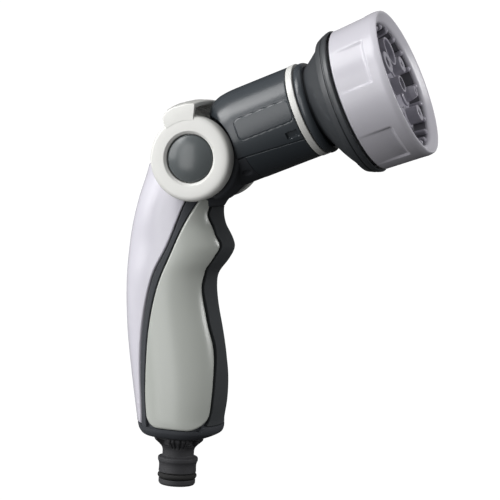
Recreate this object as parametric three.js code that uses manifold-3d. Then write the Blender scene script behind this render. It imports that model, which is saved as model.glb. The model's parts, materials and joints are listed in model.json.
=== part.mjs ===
// Garden hose spray nozzle: a pistol handle on a quick-connect tail, a tilted barrel with a thumb
// lever round its hub, and a bell with a turning pattern ring at the front.
//
// Millimetres. +Z runs up the hose tail's axis, +X is the way the nozzle sprays, +Y is its left side.
// The origin is the centre of the tail's lower end, where the hose coupling pushes on.
import * as THREE from "three";
import { mergeVertices } from "three/addons/utils/BufferGeometryUtils.js";
import Module from "manifold-3d";

const wasm = await Module();
wasm.setup();

// Driving dimensions.
const GAP = 0.3; // clearance between pieces that touch in life
const TURN = Math.PI * 2;
const rad = THREE.MathUtils.degToRad;

const HUB = new THREE.Vector3(6.9, 0, 138.8); // centre of the lever's cross axle
const BARREL_TILT = rad(23.5);
const BARREL_LIFT = 3.4; // barrel axis above the hub centre, square to the barrel
const BARREL_RADIUS = 19.4;
const BARREL_WALL = 2.4;
const BARREL_FRONT = 46.6; // distances along the barrel are counted from the hub centre
const PARTING = -6; // height of the barrel shells' parting line, in the barrel's own frame

const HUB_RADIUS = 19.2;
const HUB_HALF_WIDTH = 16.6;
const POCKET_RADIUS = 19.5; // round clearance for the lever's rings in the barrel's sides

const RING_RADIUS = 17.7;
const RING_INNER = 10.7;
const RING_INSIDE = 17.5; // the lever ring runs from this distance off the centre plane
const RING_OUTSIDE = 23; // to this one
const PAD_UNDERSIDE = 20;
const PAD_FRONT = 87; // degrees round the axle, from level and forward
const PAD_REAR = 135;

const HEAD_DROP = -0.6; // head axis, in the barrel's own frame
const BELL_REAR = 50;
const BELL_FRONT = 69;
const BEZEL_REAR = 69.5;
const BEZEL_FRONT = 91.5;
const BEZEL_INNER = 26.3;
const FACE_FLOOR = 84;
const FACE_RADIUS = 25.9;
const PATTERN_CIRCLE = 14.2;
const PATTERNS = 7;
const RIBS = 20;
const THUMB_PADS = 5;

const SHELL = 2; // thickness of the handle's covers
const CORE_WALL = 2.2;
const SPOOL_RADIUS = 9;
const VALVE_RADIUS = 12.6;
const TUBE_OUTER = 5.2;
const TUBE_INNER = 3.8;

const SCREWS = [
  [8.6, 38],
  [-8, 38],
  [-10, 74],
  [-12, 108],
]; // X and Z of the four screws that join the frame halves

// The handle's side outline: height, then how far back and forward it reaches.
const HANDLE_REAR = [
  [21, -15.2],
  [24, -17.5],
  [30, -18.5],
  [46, -21.7],
  [64, -24.5],
  [80, -25.8],
  [94, -25.9],
  [107, -24.8],
  [120, -22.2],
  [130, -19.4],
  [137, -17.6],
];
const HANDLE_FRONT = [
  [21, 12],
  [24, 17.2],
  [30, 18.1],
  [38, 19.1],
  [47, 19.2],
  [56, 18],
  [65, 16.2],
  [78, 13],
  [86, 11.9],
  [91, 12.6],
  [97, 16.8],
  [102, 19.1],
  [106, 18],
  [112, 14.4],
  [118, 12.7],
  [123, 15],
  [127, 19.9],
  [130.5, 24.4],
  [137, 20],
];
const HANDLE_HALF_WIDTH = [
  [21, 13],
  [24, 15],
  [32, 15.8],
  [60, 16.4],
  [137, 16.6],
];
const HANDLE_ROWS = [
  21, 24, 34, 47, 60, 74, 86, 92, 97, 102, 107, 113, 119, 124, 130, 137,
];

// Side outlines of the seams, as X and Z.
const COVER_SEAM = [
  [9.5, 137],
  [8.5, 128],
  [4.5, 122],
  [1.3, 117.7],
  [-4.6, 103],
  [-9.4, 89.1],
  [-13, 68.7],
  [-13.7, 50.2],
  [-12.6, 31],
  [-12.2, 18],
];
const PANEL_REAR_EDGE = [
  [-9.6, 29.5],
  [-10.6, 38],
  [-10.8, 50],
  [-10, 68],
  [-6.9, 85],
  [-2.1, 100],
  [2.2, 110],
  [8, 119],
];
const PANEL_FRONT_EDGE = [
  [11.9, 119],
  [11.8, 115],
  [15.2, 108],
  [17.6, 103],
  [15.2, 97.6],
  [11.7, 92],
  [10.6, 85],
  [13.3, 72],
  [16.5, 60],
  [17.7, 48],
  [17.1, 35],
  [15, 28],
  [10.5, 25.6],
  [-5, 25.4],
];
const STRIP_FRONT_EDGE = PANEL_REAR_EDGE.map(([x, z]) => [x - GAP, z]);
const GRIP_FOOT = 28;
const SEAM = 0.45; // open groove between the panels and the grip
const GRIP_REAR_EDGE = PANEL_FRONT_EDGE.filter(([, z]) => z >= GRIP_FOOT).map(([x, z]) => [
  x + SEAM,
  z,
]);

// Looks, one material for each finish.
function finish(color, roughness, metalness = 0) {
  return new THREE.MeshStandardMaterial({ color, roughness, metalness });
}
const OFF_WHITE = finish(0xe2e2de, 0.42);
const SILVER = finish(0xcfccd6, 0.35, 0.2);
const PEARL = finish(0xbabdb7, 0.4, 0.15);
const DARK_SHELL = finish(0x3c4248, 0.38);
const DARK_FRAME = finish(0x33383d, 0.45);
const RUBBER = finish(0x2b2e31, 0.7);
const TAIL_PLASTIC = finish(0x2d3033, 0.45);
const CAP_PLASTIC = finish(0x55595d, 0.35);
const FACE_PLASTIC = finish(0xa5a3ad, 0.4);
const INNER_PLASTIC = finish(0x8b8f94, 0.5);
const SEAL_RUBBER = finish(0x1b1b1d, 0.75);
const STEEL = finish(0xb8babd, 0.3, 1);

// A smooth curve through [position, value] pairs, without overshoot at the ends.
function smooth(points, at) {
  const last = points.length - 1;
  const slope = (i) => {
    const a = points[Math.max(i - 1, 0)];
    const b = points[Math.min(i + 1, last)];
    return (b[1] - a[1]) / (b[0] - a[0]);
  };
  let i = 0;
  while (i < last - 1 && at > points[i + 1][0]) i++;
  const [x0, y0] = points[i];
  const [x1, y1] = points[i + 1];
  const span = x1 - x0;
  const t = Math.min(Math.max((at - x0) / span, 0), 1);
  const rise = t * t * (3 - 2 * t);
  const leave = t * (1 - t) * (1 - t) * span * slope(i);
  const arrive = t * t * (t - 1) * span * slope(i + 1);
  return y0 + (y1 - y0) * rise + leave + arrive;
}

// A closed geometry as a manifold-3d solid.
function solid(geometry) {
  const bare = geometry.clone();
  bare.deleteAttribute("normal");
  bare.deleteAttribute("uv");
  const merged = mergeVertices(bare, 1e-4);
  return new wasm.Manifold(
    new wasm.Mesh({
      numProp: 3,
      vertProperties: merged.attributes.position.array,
      triVerts: new Uint32Array(merged.index.array),
    }),
  );
}

// A manifold-3d solid as a three.js geometry.
function geometryOf(manifold) {
  const { vertProperties, triVerts } = manifold.getMesh();
  const geometry = new THREE.BufferGeometry();
  geometry.setAttribute("position", new THREE.BufferAttribute(vertProperties, 3));
  geometry.setIndex(new THREE.BufferAttribute(triVerts, 1));
  geometry.computeVertexNormals();
  return geometry;
}

// A body turned from a profile of [radius, distance along the axis] points, about +Y.
function turned(profile, segments = 20) {
  let area = 0;
  profile.forEach(([r, h], i) => {
    const [r2, h2] = profile[(i + 1) % profile.length];
    area += r * h2 - r2 * h;
  });
  const order = area > 0 ? profile : [...profile].reverse();
  const closed = order[0][0] > 0 || order[order.length - 1][0] > 0;
  const points = order.map(([r, h]) => new THREE.Vector2(r, h));
  if (closed) points.push(points[0].clone());
  return new THREE.LatheGeometry(points, segments);
}
const turnedZ = (profile, segments) => turned(profile, segments).rotateX(Math.PI / 2);
const turnedX = (profile, segments) => turned(profile, segments).rotateZ(-Math.PI / 2);

// A ring of square section, and a rod with one closed end at each side.
const band = (inner, outer, from, to) => [
  [inner, from],
  [outer, from],
  [outer, to],
  [inner, to],
];
const rod = (radius, from, to) => [
  [0, from],
  [radius, from],
  [radius, to],
  [0, to],
];

// An O-ring's round section.
function bead(ringRadius, wireRadius, at, sides = 6) {
  const points = [];
  for (let i = 0; i < sides; i++) {
    const angle = (TURN * i) / sides;
    points.push([ringRadius + wireRadius * Math.cos(angle), at + wireRadius * Math.sin(angle)]);
  }
  return points;
}

function box(width, depth, height, x, y, z) {
  return new THREE.BoxGeometry(width, depth, height).translate(x, y, z);
}

function outline(points) {
  return new THREE.Shape(points.map(([x, z]) => new THREE.Vector2(x, z)));
}

// A side outline in X and Z, made solid from one Y to the other.
function slab(points, fromY, toY) {
  return new THREE.ExtrudeGeometry(outline(points), { depth: toY - fromY, bevelEnabled: false })
    .rotateX(Math.PI / 2)
    .translate(0, toY, 0);
}

// A skin over closed rows of points, each row running anticlockwise seen from the last row's side.
function loft(rows) {
  const count = rows[0].length;
  const positions = rows.flat().flatMap((p) => [p.x, p.y, p.z]);
  const index = [];
  for (let i = 0; i + 1 < rows.length; i++) {
    for (let j = 0; j < count; j++) {
      const a = i * count + j;
      const b = i * count + ((j + 1) % count);
      index.push(a, b, b + count, a, b + count, a + count);
    }
  }
  const addCap = (row, offset, facingBack) => {
    const centre = row.reduce((sum, p) => sum.add(p), new THREE.Vector3()).divideScalar(count);
    const hub = positions.length / 3;
    positions.push(centre.x, centre.y, centre.z);
    for (let j = 0; j < count; j++) {
      const a = offset + j;
      const b = offset + ((j + 1) % count);
      if (facingBack) index.push(hub, b, a);
      else index.push(hub, a, b);
    }
  };
  addCap(rows[0], 0, true);
  addCap(rows[rows.length - 1], (rows.length - 1) * count, false);
  const geometry = new THREE.BufferGeometry();
  geometry.setAttribute("position", new THREE.Float32BufferAttribute(positions, 3));
  geometry.setIndex(index);
  geometry.computeVertexNormals();
  return geometry;
}

// One level row of the handle: a rounded rectangle, squarer at the front than at the back.
function handleRow(z, inset, sides = 16) {
  const rear = smooth(HANDLE_REAR, z) + inset;
  const front = smooth(HANDLE_FRONT, z) - inset;
  const half = smooth(HANDLE_HALF_WIDTH, z) - inset;
  const middle = (rear + front) / 2;
  const reach = (front - rear) / 2;
  const row = [];
  for (let i = 0; i < sides; i++) {
    const angle = (TURN * i) / sides;
    const c = Math.cos(angle);
    const s = Math.sin(angle);
    const power = 2 / (c > 0 ? 4 : 2.8);
    const x = middle + reach * Math.sign(c) * Math.abs(c) ** power;
    const y = half * Math.sign(s) * Math.abs(s) ** power;
    row.push(new THREE.Vector3(x, y, z));
  }
  return row;
}

function handle(inset, from = HANDLE_ROWS[0], to = HANDLE_ROWS[HANDLE_ROWS.length - 1]) {
  const heights = [from, ...HANDLE_ROWS.filter((z) => z > from + 0.5 && z < to - 0.5), to];
  return solid(loft(heights.map((z) => handleRow(z, inset))));
}

// The barrel and head stand in a frame of their own: x along the barrel, z square to it.
const BARREL_FRAME = new THREE.Matrix4()
  .makeRotationY(-BARREL_TILT)
  .setPosition(HUB.x, HUB.y, HUB.z);
const atBarrel = (geometry) => geometry.applyMatrix4(BARREL_FRAME);
const atHub = (geometry) => geometry.translate(HUB.x, HUB.y, HUB.z);

const spray = new THREE.Group();
spray.name = "hose_spray_nozzle";
const hub = new THREE.Group();
hub.position.copy(HUB);
const barrel = new THREE.Group();
barrel.position.copy(HUB);
barrel.rotation.y = -BARREL_TILT;
const head = new THREE.Group();
head.position.z = HEAD_DROP;
barrel.add(head);
spray.add(hub, barrel);

function add(group, name, shape, material) {
  const geometry = shape.isBufferGeometry ? shape : geometryOf(shape);
  const mesh = new THREE.Mesh(geometry, material);
  mesh.name = name;
  group.add(mesh);
  return mesh;
}

// ---- Hose tail -------------------------------------------------------------------------------

function makeTail() {
  const body = solid(
    turnedZ(
      [
        [4.6, 0],
        [6.9, 0],
        [7.8, 1.15],
        [7.8, 2.5],
        [5.6, 2.7],
        [5.6, 5.3],
        [8, 5.5],
        [7.8, 8.4],
        [8.5, 10.5],
        [8.4, 11.8],
        [6.7, 12.2],
        [6.7, 16.2],
        [10.4, 19.2],
        [10.4, 20.5],
        [7.2, 20.7],
        [7.2, 24.6],
        [9.6, 24.9],
        [9.6, 27.2],
        [7.6, 27.4],
        [7.4, 30.6],
        [TUBE_OUTER + GAP, 30.6],
        [TUBE_OUTER + GAP, 26.4],
        [4.6, 26.4],
      ],
      24,
    ),
  );
  // Windows in the collar, where the coupling's catches are released.
  let windows = solid(box(3.6, 30, 2.6, 0, 0, 18.2));
  windows = windows.subtract(solid(turnedZ(rod(8.2, 10, 30), 24)));
  return body.subtract(windows);
}
add(spray, "hose_tail", makeTail(), TAIL_PLASTIC);
add(spray, "tail_o_ring", turnedZ(bead(7.15, 1.2, 4, 8), 24), SEAL_RUBBER);

// ---- Water path in the handle ----------------------------------------------------------------

const INLET_FOOT = new THREE.Vector3(0, 0, 26.8);
const inletRun = HUB.clone().sub(INLET_FOOT);
const INLET_LEAN = Math.atan2(inletRun.x, inletRun.z);
const INLET_LENGTH = inletRun.length() - VALVE_RADIUS - GAP;
const inlet = new THREE.Group();
inlet.position.copy(INLET_FOOT);
inlet.rotation.y = INLET_LEAN;
spray.add(inlet);
add(
  inlet,
  "inlet_tube",
  turnedZ(band(TUBE_INNER, TUBE_OUTER - 0.25, 0, INLET_LENGTH), 20),
  INNER_PLASTIC,
);
add(inlet, "inlet_o_ring", turnedZ(bead(TUBE_OUTER + 1.1, 0.9, 5.2), 16), SEAL_RUBBER);

// ---- Handle: frame halves, covers and grip ---------------------------------------------------

const outer = handle(0);
const underCovers = handle(SHELL);
const coverSkin = outer.subtract(underCovers);
const WIDE = 30;

const hubClear = solid(atHub(turned(rod(POCKET_RADIUS, -WIDE, WIDE), 40)));
const coverBehind = [
  [-40, 10],
  [-40, 137],
];
const coverZone = solid(slab([...COVER_SEAM, ...coverBehind], -WIDE, WIDE));
const LEVER_SWEEP_FLOOR = 135.6; // the cover ends below the thumb pad's lowest place
const belowSweep = solid(box(80, 80, LEVER_SWEEP_FLOOR, 0, 0, LEVER_SWEEP_FLOOR / 2));

function makeRearCover() {
  return coverSkin.intersect(coverZone).intersect(belowSweep).subtract(hubClear);
}
add(spray, "rear_cover", makeRearCover(), SILVER);

const panelOutline = [...PANEL_REAR_EDGE, ...PANEL_FRONT_EDGE];
const panelSkin = coverSkin
  .intersect(solid(slab(panelOutline, -WIDE, WIDE)))
  .subtract(hubClear)
  .subtract(solid(box(80, 16, 300, 0, 0, 100)));
const rightHalf = solid(box(200, 60, 300, 0, -30 - GAP / 2, 110));
const leftHalf = solid(box(200, 60, 300, 0, 30 + GAP / 2, 110));
add(spray, "side_panel_right", panelSkin.intersect(rightHalf), PEARL);
add(spray, "side_panel_left", panelSkin.intersect(leftHalf), PEARL);

const gripFront = [
  [40, GRIP_FOOT],
  [40, 119],
];
function makeGrip() {
  const zone = solid(slab([...GRIP_REAR_EDGE, ...gripFront], -WIDE, WIDE));
  return coverSkin.intersect(zone);
}
add(spray, "front_grip", makeGrip(), RUBBER);

// What the frame shows between the covers: the strip, the foot and the neck.
function seamWall() {
  const strip = [
    ...COVER_SEAM.map(([x, z]) => [x + GAP, z]),
    [-9, 18],
    ...STRIP_FRONT_EDGE,
    [13, 121],
    [13, 137],
  ];
  const zones = [
    slab(strip, -WIDE, WIDE),
    slab(
      [
        [-11.9, 15],
        [40, 15],
        [40, 27.6],
        [16, 27.6],
        [15.2, 26.8],
        [11, 25.2],
        [-5, 25],
        [-9.5, 28.6],
        [-11.9, 28.6],
      ],
      -WIDE,
      WIDE,
    ),
    slab(
      [
        [8, 119.3],
        [60, 119.3],
        [60, 137],
        [8, 137],
      ],
      -WIDE,
      WIDE,
    ),
  ];
  return zones.map(solid).reduce((sum, zone) => sum.add(zone));
}

function makeFrame() {
  const core = handle(SHELL + GAP);
  const shown = outer.intersect(seamWall());
  const hollow = handle(SHELL + GAP + CORE_WALL, 24.3, 118);
  const drum = solid(
    atHub(
      turned(
        [
          [0, -HUB_HALF_WIDTH],
          [HUB_RADIUS - 0.8, -HUB_HALF_WIDTH],
          [HUB_RADIUS, 0.8 - HUB_HALF_WIDTH],
          [HUB_RADIUS, HUB_HALF_WIDTH - 0.8],
          [HUB_RADIUS - 0.8, HUB_HALF_WIDTH],
          [0, HUB_HALF_WIDTH],
        ],
        40,
      ),
    ),
  );
  // The neck carries on as the underside of the barrel as far as the lower shell.
  const NECK_END = 20.2;
  const aroundBarrel = (profile) =>
    solid(atBarrel(turnedX(profile, 32).translate(0, 0, BARREL_LIFT)));
  const below = solid(atBarrel(box(80, 80, 40, 0, 0, PARTING - GAP - 20)));
  const neck = aroundBarrel(rod(BARREL_RADIUS - 0.3, 2, NECK_END))
    .intersect(below)
    .subtract(solid(atHub(turned(rod(POCKET_RADIUS, HUB_HALF_WIDTH, WIDE), 40))))
    .subtract(solid(atHub(turned(rod(POCKET_RADIUS, -WIDE, -HUB_HALF_WIDTH), 40))));
  const spigot = aroundBarrel(rod(BARREL_RADIUS - BARREL_WALL - GAP, 18.3, 25));

  const bosses = SCREWS.map(([x, z]) =>
    solid(turned(rod(3.4, -12.6, 12.2), 8).translate(x, 0, z)),
  ).reduce((sum, boss) => sum.add(boss));
  const bores = SCREWS.map(([x, z]) =>
    solid(
      turned(
        [
          [0, -9.5],
          [1.5, -9.5],
          [1.5, 10.6],
          [2.8, 10.6],
          [2.8, WIDE],
          [0, WIDE],
        ],
        8,
      ).translate(x, 0, z),
    ),
  ).reduce((sum, bore) => sum.add(bore));

  const cavity = solid(atHub(turned(rod(VALVE_RADIUS + 0.6, -14.2, 14.2), 24)));
  const axleHole = solid(atHub(turned(rod(5.3, -WIDE, WIDE), 16)));
  const barrelBore = aroundBarrel(rod(BARREL_RADIUS - BARREL_WALL - GAP - 2.2, 14, 40));
  const tubeWay = solid(atBarrel(turnedX(rod(4.8, 8, 30), 10)));
  const inletWay = solid(
    turnedZ(rod(6.1, 0, INLET_LENGTH + 4), 12).rotateY(INLET_LEAN).translate(...INLET_FOOT),
  );
  const tailHole = solid(
    turnedZ(
      [
        [0, 20],
        [7.6, 20],
        [7.6, 24.3],
        [10, 24.4],
        [10, 31.2],
        [0, 31.2],
      ],
      20,
    ),
  );
  return core
    .add(shown)
    .add(drum)
    .add(neck)
    .add(spigot)
    .subtract(hollow)
    .add(bosses)
    .subtract(bores)
    .subtract(cavity)
    .subtract(axleHole)
    .subtract(barrelBore)
    .subtract(tubeWay)
    .subtract(inletWay)
    .subtract(tailHole);
}
const frame = makeFrame();
add(spray, "frame_right", frame.intersect(rightHalf), DARK_FRAME);
add(spray, "frame_left", frame.intersect(leftHalf), DARK_FRAME);

SCREWS.forEach(([x, z], i) => {
  const screw = turned(
    [
      [0, -8.5],
      [1.2, -8.2],
      [1.2, 10.9],
      [2.4, 10.9],
      [2.4, 12.2],
      [0, 12.5],
    ],
    8,
  );
  add(spray, `frame_screw_${i + 1}`, screw, STEEL).position.set(x, 0, z);
});

// ---- Valve in the hub ------------------------------------------------------------------------

const PORT_WIDTH = 4.2;
const PORT_LENGTH = 11;
const portTo = (angle, from, to, width, length) =>
  solid(
    box(to - from, length, width, (from + to) / 2, 0, 0).rotateY(-angle),
  );
const INLET_ANGLE = -Math.PI / 2 - INLET_LEAN;
const OUTLET_ANGLE = BARREL_TILT;

function makeValveBody() {
  return solid(turned(band(SPOOL_RADIUS + GAP, VALVE_RADIUS, -13.6, 13.6), 24))
    .subtract(portTo(INLET_ANGLE, 8, 14, PORT_WIDTH, PORT_LENGTH))
    .subtract(portTo(INLET_ANGLE, 8, SPOOL_RADIUS + 2.1, 7.6, 15.6))
    .subtract(portTo(OUTLET_ANGLE, 8, 14, PORT_WIDTH, PORT_LENGTH));
}
add(hub, "valve_body", makeValveBody(), INNER_PLASTIC);

function makeValveSeat() {
  return portTo(INLET_ANGLE, SPOOL_RADIUS + GAP, SPOOL_RADIUS + 1.8, 6.8, 14.8)
    .subtract(portTo(INLET_ANGLE, 8, 14, PORT_WIDTH, PORT_LENGTH))
    .subtract(solid(turned(rod(SPOOL_RADIUS + GAP, -WIDE, WIDE), 24)));
}
add(hub, "valve_seat", makeValveSeat(), SEAL_RUBBER);

function makeSpool() {
  const half = [
    [SPOOL_RADIUS, 7.4],
    [SPOOL_RADIUS - 1.5, 7.6],
    [SPOOL_RADIUS - 1.5, 9.6],
    [SPOOL_RADIUS, 9.8],
    [SPOOL_RADIUS, 13],
    [5, 13.2],
    [5, 17.2],
    [1.8, 17.2],
    [1.8, 11],
    [0, 11],
  ];
  const mirrored = half.map(([r, y]) => [r, -y]).reverse();
  return solid(turned([...mirrored, ...half], 16))
    .subtract(portTo(INLET_ANGLE, 0, 14, PORT_WIDTH, PORT_LENGTH))
    .subtract(portTo(OUTLET_ANGLE, 0, 14, PORT_WIDTH, PORT_LENGTH));
}
add(hub, "valve_spool", makeSpool(), INNER_PLASTIC);

// ---- Thumb lever -----------------------------------------------------------------------------

// A point round the axle, at an angle from level and forward.
const round = (radius, degrees) => [
  radius * Math.cos(rad(degrees)),
  radius * Math.sin(rad(degrees)),
];
function arc(radius, from, to, steps) {
  const points = [];
  for (let i = 0; i <= steps; i++) points.push(round(radius, from + ((to - from) * i) / steps));
  return points;
}

function makeLever() {
  const ringProfile = [
    [1.9, RING_INSIDE],
    [17.2, RING_INSIDE],
    [RING_RADIUS, 18],
    [RING_RADIUS, 20.6],
    [17.2, 22],
    [16.3, 22.8],
    [14.8, RING_OUTSIDE],
    [RING_INNER, RING_OUTSIDE],
    [RING_INNER, 19.3],
    [1.9, 19.3],
  ];
  const leftRing = turned(ringProfile, 28);
  const rightRing = turned(
    ringProfile.map(([r, y]) => [r, -y]),
    28,
  );
  // The pad is crowned: its rows across the lever rise from the sides to the middle.
  const acrossAt = [-RING_OUTSIDE, -13, 0, 13, RING_OUTSIDE];
  const padRow = (y) => {
    const crown = 1 - (y / RING_OUTSIDE) ** 2;
    const top = [
      round(22 + 2.2 * crown, PAD_FRONT),
      round(22.2 + 2.4 * crown, 98),
      round(22 + 2.8 * crown, 110),
      round(21.8 + 3 * crown, 121),
      round(21.3 + 2.6 * crown, PAD_REAR - 5),
      round(20.8 + 1.6 * crown, PAD_REAR),
    ];
    const under = arc(PAD_UNDERSIDE, PAD_REAR, PAD_FRONT, 5);
    return [...top, ...under].map(([x, z]) => new THREE.Vector3(x, y, z));
  };
  // Seen from +Y each row must run anticlockwise, which is clockwise in X and Z as listed.
  const pad = solid(loft(acrossAt.map((y) => padRow(y).reverse())));
  const arm = slab([...arc(15, PAD_FRONT, PAD_REAR, 4), ...arc(20.6, PAD_REAR, PAD_FRONT, 4)], 0, 5.4);
  const rightArm = arm.clone().translate(0, -RING_OUTSIDE + 0.05, 0);
  const leftArm = arm.clone().translate(0, RING_OUTSIDE - 5.45, 0);
  return solid(leftRing)
    .add(solid(rightRing))
    .add(pad)
    .add(solid(rightArm))
    .add(solid(leftArm));
}
add(hub, "thumb_lever", makeLever(), OFF_WHITE);

for (const [side, y] of [
  ["right", -1],
  ["left", 1],
]) {
  const facing = (profile) => profile.map(([r, h]) => [r, h * y]);
  const cap = [
    [0, 24],
    [5, 23.7],
    [8.4, 23],
    [10.2, 21.9],
    [10.4, 21.3],
    [10.4, 19.7],
    [9, 19.7],
    [9, 21.4],
    [0, 22.2],
  ];
  add(hub, `hub_cap_${side}`, turned(facing(cap), 20), CAP_PLASTIC);
  const screw = [
    [0, 12],
    [1.4, 12.3],
    [1.4, 19.6],
    [3, 19.6],
    [3, 21],
    [0, 21.3],
  ];
  add(hub, `lever_screw_${side}`, turned(facing(screw), 8), STEEL);
  const ring = turned(bead(SPOOL_RADIUS - 0.65, 0.75, 8.6 * y), 16);
  add(hub, `spool_o_ring_${side}`, ring, SEAL_RUBBER);
}

// ---- Barrel ----------------------------------------------------------------------------------

const REAR_PLANE = rad(58.5); // the shells end at a plane through the axle, in front of the pad

function makeBarrelShell() {
  const wall = turnedX(
    [
      [13, 9],
      [16.2, 11.5],
      [18.4, 14.5],
      [19, 18],
      [BARREL_RADIUS, 22],
      [BARREL_RADIUS, BARREL_FRONT],
      [BARREL_RADIUS - BARREL_WALL, BARREL_FRONT],
      [BARREL_RADIUS - BARREL_WALL, 18],
      [16, 13.5],
      [12.4, 9.6],
    ],
    36,
  ).translate(0, 0, BARREL_LIFT);
  const behind = box(60, 80, 60, -30, 0, 0).rotateY(Math.PI / 2 - REAR_PLANE);
  return solid(wall)
    .subtract(solid(turned(rod(POCKET_RADIUS, -WIDE, WIDE), 40)))
    .subtract(solid(behind));
}
const barrelShell = makeBarrelShell();
const above = solid(box(120, 80, 40, 30, 0, PARTING + GAP / 2 + 20));
const beneath = solid(box(120, 80, 40, 79, 0, PARTING - GAP / 2 - 20).translate(1.5, 0, 0));
add(barrel, "barrel_upper_shell", barrelShell.intersect(above), DARK_SHELL);
add(barrel, "barrel_lower_shell", barrelShell.intersect(beneath), DARK_SHELL);

function liftedRing(name, profile, material) {
  add(barrel, name, turnedX(profile, 32).translate(0, 0, BARREL_LIFT), material);
}
liftedRing("barrel_trim_ring", band(17.4, BARREL_RADIUS, 46.9, 49.7), OFF_WHITE);
liftedRing(
  "bell_lock_ring",
  [
    [17.6, BELL_REAR],
    [19.8, BELL_REAR],
    [20.3, 50.6],
    [20.3, 52],
    [19.6, 53],
    [18.6, 53.6],
    [17.6, 53.6],
  ],
  DARK_SHELL,
);

const OUTLET_ROUTE = [
  [VALVE_RADIUS + GAP, 0],
  [20, 0.6],
  [32, 4.6],
  [46, 10.6],
  [56, 13.2],
  [63.4, 13.6],
];
function makeOutletTube() {
  const route = new THREE.CatmullRomCurve3(
    OUTLET_ROUTE.map(([x, z]) => new THREE.Vector3(x, 0, z)),
  );
  const section = new THREE.Shape().absarc(0, 0, 4.2, 0, TURN);
  section.holes.push(new THREE.Path().absarc(0, 0, 3, 0, TURN, true));
  return new THREE.ExtrudeGeometry(section, {
    extrudePath: route,
    steps: 8,
    curveSegments: 5,
    bevelEnabled: false,
  });
}
add(barrel, "outlet_tube", makeOutletTube(), INNER_PLASTIC);
const outletSeal = turnedX(bead(5.1, 0.7, 61.6), 16).translate(0, 0, 13.6);
add(barrel, "outlet_o_ring", outletSeal, SEAL_RUBBER);

// ---- Bell and the fixed parts of the head ----------------------------------------------------

// Round sections whose centres drop from the barrel's axis to the head's: along, height, radius.
function eccentric(sections, sides = 30) {
  return solid(
    loft(
      sections.map(([x, z, radius]) => {
        const row = [];
        for (let i = 0; i < sides; i++) {
          const angle = (TURN * i) / sides;
          row.push(
            new THREE.Vector3(x, radius * Math.cos(angle), z + radius * Math.sin(angle)),
          );
        }
        return row;
      }),
    ),
  );
}
function makeBell() {
  const skin = eccentric([
    [BELL_REAR, 3.4, 17.2],
    [53.9, 3.4, 17.2],
    [54.1, 3.3, 18.4],
    [56.5, 2, 21.6],
    [59, 0.7, 24.5],
    [62.8, -0.5, 27.2],
    [63.3, -0.5, 28.4],
    [66, -0.55, 29.7],
    [68.4, HEAD_DROP, 30.5],
    [BELL_FRONT, HEAD_DROP, 30.2],
  ]);
  const hollow = eccentric([
    [BELL_REAR - 1, 3.4, 15],
    [54.4, 3.2, 15],
    [59, 0.9, 22],
    [62.6, -0.4, 25.2],
    [63.7, HEAD_DROP, 26.9],
    [BELL_FRONT - 1.5, HEAD_DROP, 26.9],
    [BELL_FRONT + 1, HEAD_DROP, 28.4],
  ]);
  return skin.subtract(hollow);
}
add(barrel, "bell", makeBell(), RUBBER);

// The head's own frame lies on the head axis: heights and the pattern circle are counted from it.
const onCircle = (degrees) => [
  PATTERN_CIRCLE * Math.cos(rad(degrees)),
  PATTERN_CIRCLE * Math.sin(rad(degrees)),
];
const atPort = (geometry, degrees) => geometry.translate(0, ...onCircle(degrees));
const TOP = 90;

function makeCarrier() {
  const plate = solid(
    turnedX(
      [
        [1.6, 70],
        [1.6, 80],
        [4, 80],
        [4, BELL_FRONT],
        [26.6, BELL_FRONT],
        [26.6, 64.2],
        [0, 64.2],
        [0, 70],
      ],
      24,
    ),
  );
  const collar = solid(atPort(turnedX(rod(7.4, 60.2, 66), 16), TOP));
  const socket = solid(
    atPort(
      turnedX(
        [
          [0, 60],
          [6.1, 60],
          [6.1, 62.6],
          [4.6, 62.7],
          [4.6, 63.8],
          [3, 63.8],
          [3, 65.4],
          [5.6, 65.4],
          [5.6, 75],
          [0, 75],
        ],
        14,
      ),
      TOP,
    ),
  );
  const detentPocket = solid(box(3, 5.4, 13, 69.2, 0, -16.5));
  return plate.add(collar).subtract(socket).subtract(detentPocket);
}
add(head, "head_carrier", makeCarrier(), INNER_PLASTIC);

add(head, "port_seal", atPort(turnedX(band(3.2, 5.2, 68.8, 71.2), 14), TOP), SEAL_RUBBER);

class Coil extends THREE.Curve {
  constructor(radius, from, to, turns) {
    super();
    Object.assign(this, { radius, from, to, turns });
  }
  getPoint(t, target = new THREE.Vector3()) {
    const angle = TURN * this.turns * t;
    return target.set(
      this.from + (this.to - this.from) * t,
      this.radius * Math.cos(angle),
      this.radius * Math.sin(angle),
    );
  }
}
function makeSealSpring() {
  const wire = new THREE.Shape().absarc(0, 0, 0.35, 0, TURN);
  const spring = new THREE.ExtrudeGeometry(wire, {
    extrudePath: new Coil(4.4, 66.2, 68, 1.6),
    steps: 14,
    curveSegments: 2,
    bevelEnabled: false,
  });
  return atPort(spring, TOP);
}
add(head, "port_seal_spring", makeSealSpring(), STEEL);

// A bent leaf whose crown presses into the rotor's notches.
const DETENT_LEAF = [
  [68.1, -21.5],
  [68.6, -21.5],
  [70.9, -17.2],
  [70.9, -15.8],
  [68.6, -11.5],
  [68.1, -11.5],
  [70.4, -15.9],
  [70.4, -17.1],
];
add(head, "detent_spring", slab(DETENT_LEAF, -2, 2), STEEL);

// ---- Turning head ----------------------------------------------------------------------------

const PATTERN_STEP = 360 / PATTERNS;
const patternAngle = (i) => TOP - PATTERN_STEP * i;

function throughPatterns(body, radius, from, to) {
  for (let i = 0; i < PATTERNS; i++) {
    body = body.subtract(solid(atPort(turnedX(rod(radius, from, to), 6), patternAngle(i))));
  }
  return body;
}

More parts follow.
